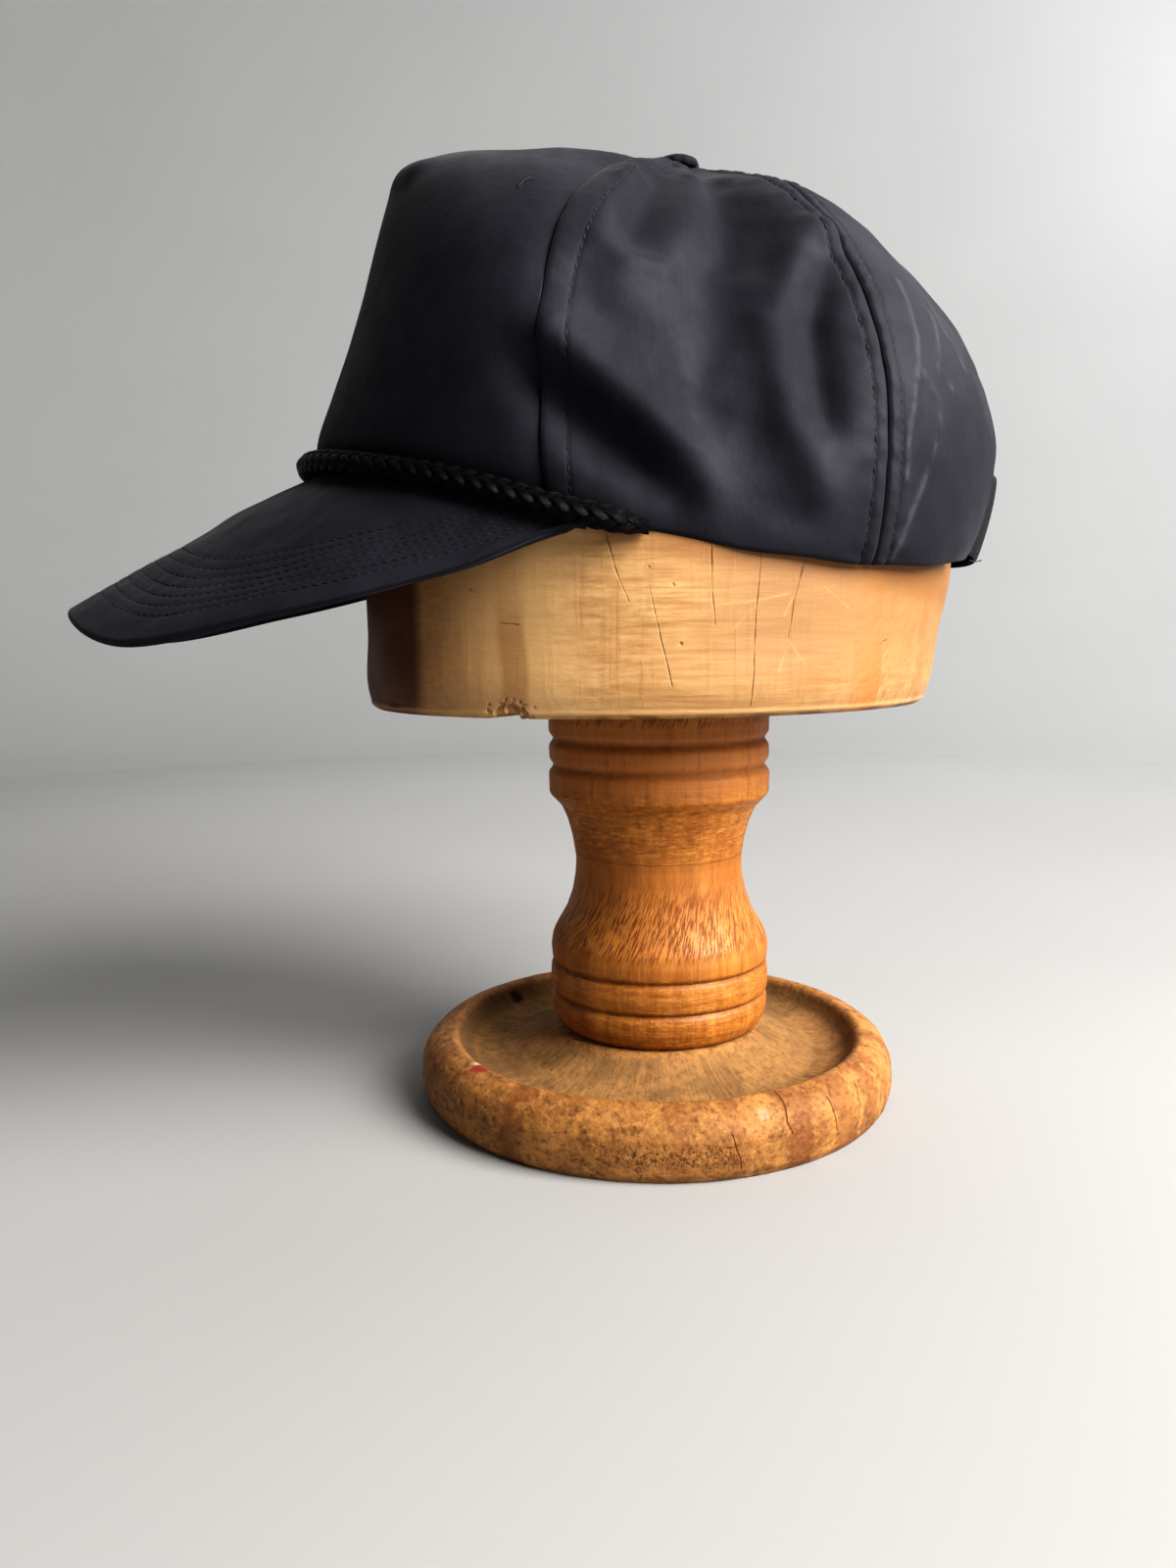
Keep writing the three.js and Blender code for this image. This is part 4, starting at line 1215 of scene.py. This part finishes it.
outer, inner, cloth_map, peak_length, peak_gap = peak_surface()
points, quads = shell(outer, inner)
piece = put_mesh("peak_cloth", points, quads, uv=np.concatenate([cloth_map.reshape(-1, 2)] * 2))
dress(piece, peak_cloth, "cap_cloth", "peak")
normals = grid_normals(outer)
flip = np.sign(normals[..., 2:3].mean())
peak_lines, peak_normals = [], []
for row in PEAK_ROWS:
    reach = np.flatnonzero(peak_length > row + PEAK_ROW_END)
    at = np.array([np.interp(-row, -peak_gap[:, k], np.arange(peak_gap.shape[0])) for k in reach])
    low = np.floor(at).astype(int)
    share = (at - low)[:, None]
    peak_lines.append(outer[low, reach] * (1 - share) + outer[low + 1, reach] * share)
    peak_normals.append(normals[low, reach] * flip)
piece = put_mesh("peak_stitching", *stitch_rows(peak_lines, peak_normals, PEAK_STITCH_HEIGHT))
dress(piece, thread, "cap_cloth")


# Loose threads: three points each, as degrees, s and lift off the smooth crown
LOOSE_THREADS = (
    ((39.8, 0.45, 0.5), (40.0, 0.475, 1.4), (41.2, 0.477, 0.7)),
    ((145.0, 0.006, -0.4), (146.5, 0.004, 1.4), (147.0, 0.01, 2.8)),
)
THREAD_RADIUS, THREAD_SIDES = 0.16, 6


def loose_threads(count=14):
    """Thin tubes along curves that are drawn toward their middle point."""
    t = np.linspace(0, 1, count)[:, None]
    first, middle, last = np.swapaxes(np.array(LOOSE_THREADS, float), 0, 1)[:, :, None]
    deg, s, lift = np.moveaxis(first * (1 - t) ** 2 + middle * 2 * t * (1 - t) + last * t * t, -1, 0)
    normal = crown_normal(deg, s)
    lines = crown_base(deg, s) + normal * lift[..., None]
    ahead = unit(np.gradient(lines, axis=1))
    side = unit(np.cross(ahead, normal))
    return tubes(lines, side * THREAD_RADIUS, np.cross(side, ahead) * THREAD_RADIUS, THREAD_SIDES)


dress(put_mesh("loose_threads", *loose_threads()), thread, "cap_cloth")

lines, flat, thick = cord_strands()
points, quads, tris = tubes(lines, flat, thick, STRAND_SIDES)
strand_map = np.zeros((lines.shape[0], lines.shape[1] * STRAND_SIDES + 2, 2))
strand_map[:, :-2, 0] = np.tile(np.abs(np.arange(STRAND_SIDES) - STRAND_SIDES / 2), lines.shape[1])
strand_map[:, :-2, 1] = np.repeat(np.arange(lines.shape[1]), STRAND_SIDES)
piece = put_mesh("front_cord_braid", points, quads, tris, uv=strand_map.reshape(-1, 2))
dress(piece, cord_material(), "cord", "front_cord")
line, level, thin = cord_line(CORE_POINTS)
ahead = unit(np.gradient(line, axis=0))
core = (CORD_RADIUS - STRAND_SINK) * thin[:, None]
across = unit(np.cross(ahead, level)) * core
piece = put_mesh("front_cord_core", *tubes(line[None], across[None], (level * core)[None], CORE_SIDES))
dress(piece, thread, "cord")


def strap_surface(columns=150, rows=16):
    """Curved band behind the half-moon with softened long edges, bowed out in the middle."""
    u = np.linspace(-1, 1, columns)
    v = (1 - np.cos(np.linspace(0, np.pi, rows))) / 2
    deg = 180 + STRAP_HALF_DEG * u
    deg = np.where(deg > 180, deg - 360, deg)
    s = STRAP_LOW_S + (STRAP_HIGH_S - STRAP_LOW_S) * v
    grid_deg, grid_s = np.meshgrid(deg, s)
    points = crown_base(grid_deg, grid_s)
    normal = crown_normal(grid_deg, grid_s)
    fold = fold_height(points, grid_s)
    away = np.minimum(1, np.abs(u) * STRAP_HALF_DEG * STRAP_BOW_SHARE / MOON_HALF_DEG)
    bow = STRAP_BOW * (1 - away ** 2) ** 2
    rim = np.clip(np.abs(2 * v - 1) - 1 + STRAP_EDGE, 0, 1) ** 2 / STRAP_EDGE ** 2
    edge = set_back(STRAP_THICK, rim)[:, None]
    front = fold - CLOTH - STRAP_INSET + bow
    outer = points + normal * (front - edge)[..., None]
    inner = points + normal * (front - STRAP_THICK + edge)[..., None]
    return outer, inner


points, quads = shell(*strap_surface())
dress(put_mesh("back_strap_band", points, quads), strap_material(), "strap", "back_strap")


def button_rings(segments=72, rows=22):
    """Low dome pulled into shallow pleats toward its foot."""
    t = np.linspace(0, 1, rows)[:, None]
    turn = turns(segments)
    pleat = 1 + PLEAT_DEPTH * np.sin(PLEATS * turn + 1.3 * np.sin(2 * turn)) * (1 - t) ** 1.2
    rise = np.radians(DOME_FROM_DEG + DOME_SPAN_DEG * t)
    r = BUTTON_RADIUS * np.cos(rise) * pleat
    z = BUTTON_HEIGHT * (0.3 + 0.7 * np.sin(rise))
    return lathe(r, z, segments) + np.array([0, BUTTON_Y, APEX_Z - BUTTON_SINK])


points, quads, tris = closed_rings(button_rings())
piece = put_mesh("top_button_cloth", points, quads, tris, uv=points[:, :2])
dress(piece, cloth, "cap_cloth", "top_button")


# Wooden pieces


def block_rings(segments=300):
    """Oval rings of the block, with worn unevenness and a chip in its lower edge."""
    z = np.concatenate([np.linspace(low, high, count)[skip:] for low, high, count, skip in BLOCK_LEVELS])
    level, *columns = BLOCK.T
    length, width, middle = (cubic(level, column, np.gradient(column, level), z)[:, None]
                             for column in columns)
    turn = np.sort(np.concatenate([turns(segments), CHIP_TURN]))
    x = width * np.cos(turn)
    rings = np.stack([x, middle + length * np.sin(turn), z[:, None] + 0 * x], -1)
    out = unit(np.stack([np.cos(turn) / width, np.sin(turn) / length, 0 * x], -1))
    rings = rings + out * layered(rings, BLOCK_WEAR)[..., None]
    # Chip: a ragged bite that lifts the lower edge and sets it back
    gap = np.linalg.norm((rings - CHIP_PLACE) / CHIP_REACH, axis=-1)
    bite = np.clip(CHIP_FULL - gap + layered(rings, CHIP_RAGGED), 0, 1) * (rings[..., 0] > 0)
    nick = np.clip(NICK_FULL - np.linalg.norm((rings - NICK_PLACE) / NICK_REACH, axis=-1), 0, 1)
    rings = rings - out * (CHIP_DEPTH * bite + NICK_DEPTH * nick)[..., None]
    rings[..., 2] += CHIP_RISE * bite * np.clip((CHIP_TOP - rings[..., 2]) / CHIP_FADE, 0, 1)
    return rings, bite


def turned_rings(profile, step, wear, segments, seed):
    """Profile carried round the axis: resampled, its corners rubbed, slightly out of round."""
    run = line_length(profile)
    at = np.linspace(0, run[-1], int(run[-1] / step) + 1)
    r, z = np.interp(at, run, profile[:, 0]), np.interp(at, run, profile[:, 1])
    reach = int(round(wear / step))
    kernel = np.hanning(2 * reach + 3)[1:-1]
    kernel /= kernel.sum()
    r_soft, z_soft = (np.convolve(np.pad(values, reach, mode="edge"), kernel, "valid") for values in (r, z))
    r_soft[[0, -1]], z_soft[[0, -1]] = r[[0, -1]], z[[0, -1]]
    rings = lathe(r_soft[:, None], z_soft[:, None], segments)
    push = layered(rings, TURNED_WEAR, seed)
    push[[0, -1]] = 0
    return rings + lathe(1, 0, segments) * push[..., None]


def put_wood(node, rings, material, slot, **layers):
    """Wooden piece from rings that stands for a CAD node; its layers have a number for each point."""
    points, quads, tris = closed_rings(rings)
    values = {key: np.concatenate([layer.ravel(), [0, 0]]) for key, layer in layers.items()}
    dress(put_mesh(node + "_wood", points, quads, tris, layers=values), material, slot, node)


rings, bite = block_rings()
put_wood("hat_block", rings, block_material(), "block_wood", chip=bite)
rings = turned_rings(COLUMN, step=0.5, wear=0.8, segments=144, seed=61)
rings[..., 1] += COLUMN_OFF
groove = np.clip(sum(bell(rings[..., 2] - at, GROOVE_REACH) for at in GROOVE_Z), 0, 1)
put_wood("stand_column", rings, column_material(), "column_wood", groove=groove)
rings = turned_rings(BASE, step=0.6, wear=1.0, segments=200, seed=71)
put_wood("stand_base", rings, base_material(), "base_wood")


# Stage, light and camera, in metres; the camera's directions are sideways, deeper and upward

VIEW_TURN = math.radians(17.0)
CAMERA_REACH, CAMERA_HEIGHT = 404.3 * MM, 161.8 * MM
PITCH, YAW, ROLL = math.radians(7.725), math.radians(-3.246), math.radians(-0.563)
FOCAL_PIXELS, FRAME_HEIGHT, FILM, NEAREST = 1202.0, 1600.0, 36.0, 0.01
SIDEWAYS = Vector((math.sin(VIEW_TURN), math.cos(VIEW_TURN), 0))
DEEPER = Vector((-math.cos(VIEW_TURN), math.sin(VIEW_TURN), 0))
UPWARD = Vector((0, 0, 1))
FLOOR_RINGS, COVE, WALL_HEIGHT = (0.02, 0.4, 0.8, 1.1), 0.7, 2.2
FLOOR_SIDES, WALL_SIDES, COVE_ROWS = 96, 128, 16
STUDIO_GREY, STUDIO_PALE = rgb(0.31, 0.312, 0.315), rgb(0.34, 0.342, 0.345)
MIDDLE = Vector((0, -0.02, 0.17))
WHITE = (1.0, 1.0, 1.0)
# Lights round the middle of the object: direction, distance, size, power and colour
LIGHTS = {
    "key_light": ((0.9, -0.5, 0.65), 1.15, 0.85, 38, (1.0, 0.97, 0.93)),
    "fill_light": ((-0.8, -0.6, 0.1), 1.5, 1.2, 0.4, (1.0, 0.96, 0.9)),
    "far_light": ((-0.2, 0.55, 1.1), 1.4, 1.0, 3.4, (1.0, 0.98, 0.95)),
    "back_light": ((0.3, 0.9, 0.8), 1.4, 1.0, 0.8, WHITE),
}
WALL_LIGHT_PLACE, WALL_LIGHT_AIM = (1.1, 0.5, 1.2), (0.6, 1.8, 1.2)
WALL_LIGHT_SIZE, WALL_LIGHT_POWER = 0.8, 28
AIR_COLOUR, AIR_STRENGTH = rgb(0.9, 0.93, 1.0), 0.025


def toward(sideways, deeper, upward):
    """Vector in the camera's directions."""
    return SIDEWAYS * sideways + DEEPER * deeper + UPWARD * upward


def studio():
    """Pale round floor, and a wall that rises all round from its edge through a cove."""
    reach = np.array(FLOOR_RINGS)[:, None]
    points, quads, tris = closed_rings(lathe(reach, 0 * reach, FLOOR_SIDES) / MM)
    keep = np.all(tris < len(points) - 1, axis=1)
    floor = put_mesh("studio_floor", points[:-1], quads, tris[keep])
    rise = np.radians(np.linspace(-90, 0, COVE_ROWS))
    reach = np.concatenate([FLOOR_RINGS[-1] + COVE * np.cos(rise), [FLOOR_RINGS[-1] + COVE]])[:, None]
    height = np.concatenate([COVE + COVE * np.sin(rise), [WALL_HEIGHT]])[:, None]
    strip = lathe(reach, height, WALL_SIDES)
    wall = put_mesh("studio_wall", strip.reshape(-1, 3) / MM, grid_quads(*strip.shape[:2], ring=True))
    look = Look("studio_pale", 0.85)
    look.blend(look.cloud(3.0, 2.0), STUDIO_GREY, STUDIO_PALE)
    material = look.finish()
    for piece in (floor, wall):
        piece.data.materials.append(material)


def photo_camera():
    """Camera at the photograph's place: yawed, pitched and rolled from level."""
    facing = SIDEWAYS * math.sin(YAW) + DEEPER * math.cos(YAW)
    ahead = facing * math.cos(PITCH) - UPWARD * math.sin(PITCH)
    upright = facing * math.sin(PITCH) + UPWARD * math.cos(PITCH)
    level = SIDEWAYS * math.cos(YAW) - DEEPER * math.sin(YAW)
    right = level * math.cos(ROLL) + upright * math.sin(ROLL)
    above = upright * math.cos(ROLL) - level * math.sin(ROLL)
    data = bpy.data.cameras.new("photo_view")
    data.sensor_fit = "VERTICAL"
    data.sensor_height = FILM
    data.lens = FOCAL_PIXELS / FRAME_HEIGHT * FILM
    data.clip_start = NEAREST
    camera = bpy.data.objects.new("photo_view", data)
    spot = DEEPER * -CAMERA_REACH + UPWARD * CAMERA_HEIGHT
    camera.matrix_world = Matrix((*zip(right, above, -ahead, spot), (0, 0, 0, 1)))
    bpy.context.scene.collection.objects.link(camera)
    bpy.context.scene.camera = camera


def soft_light(name, place, aim, size, power, colour):
    """Square area light at a place, turned to face its aim."""
    data = bpy.data.lights.new(name, "AREA")
    data.size = size
    data.energy = power
    data.color = colour
    light = bpy.data.objects.new(name, data)
    light.location = place
    light.rotation_euler = (aim - place).to_track_quat("-Z", "Y").to_euler()
    bpy.context.scene.collection.objects.link(light)


studio()
photo_camera()
for name, (way, distance, size, power, colour) in LIGHTS.items():
    soft_light(name, MIDDLE + toward(*way).normalized() * distance, MIDDLE, size, power, colour)
soft_light("wall_light", toward(*WALL_LIGHT_PLACE), toward(*WALL_LIGHT_AIM), WALL_LIGHT_SIZE,
           WALL_LIGHT_POWER, WHITE)
world = bpy.data.worlds.new("studio_air")
world.use_nodes = True
air = Nodes(world.node_tree)
air.feed(air.tree.nodes["Background"], {0: AIR_COLOUR, 1: AIR_STRENGTH})
bpy.context.scene.world = world
bpy.context.scene.view_settings.view_transform = "Standard"
bpy.context.scene.view_settings.look = "High Contrast"

bpy.context.view_layer.update()
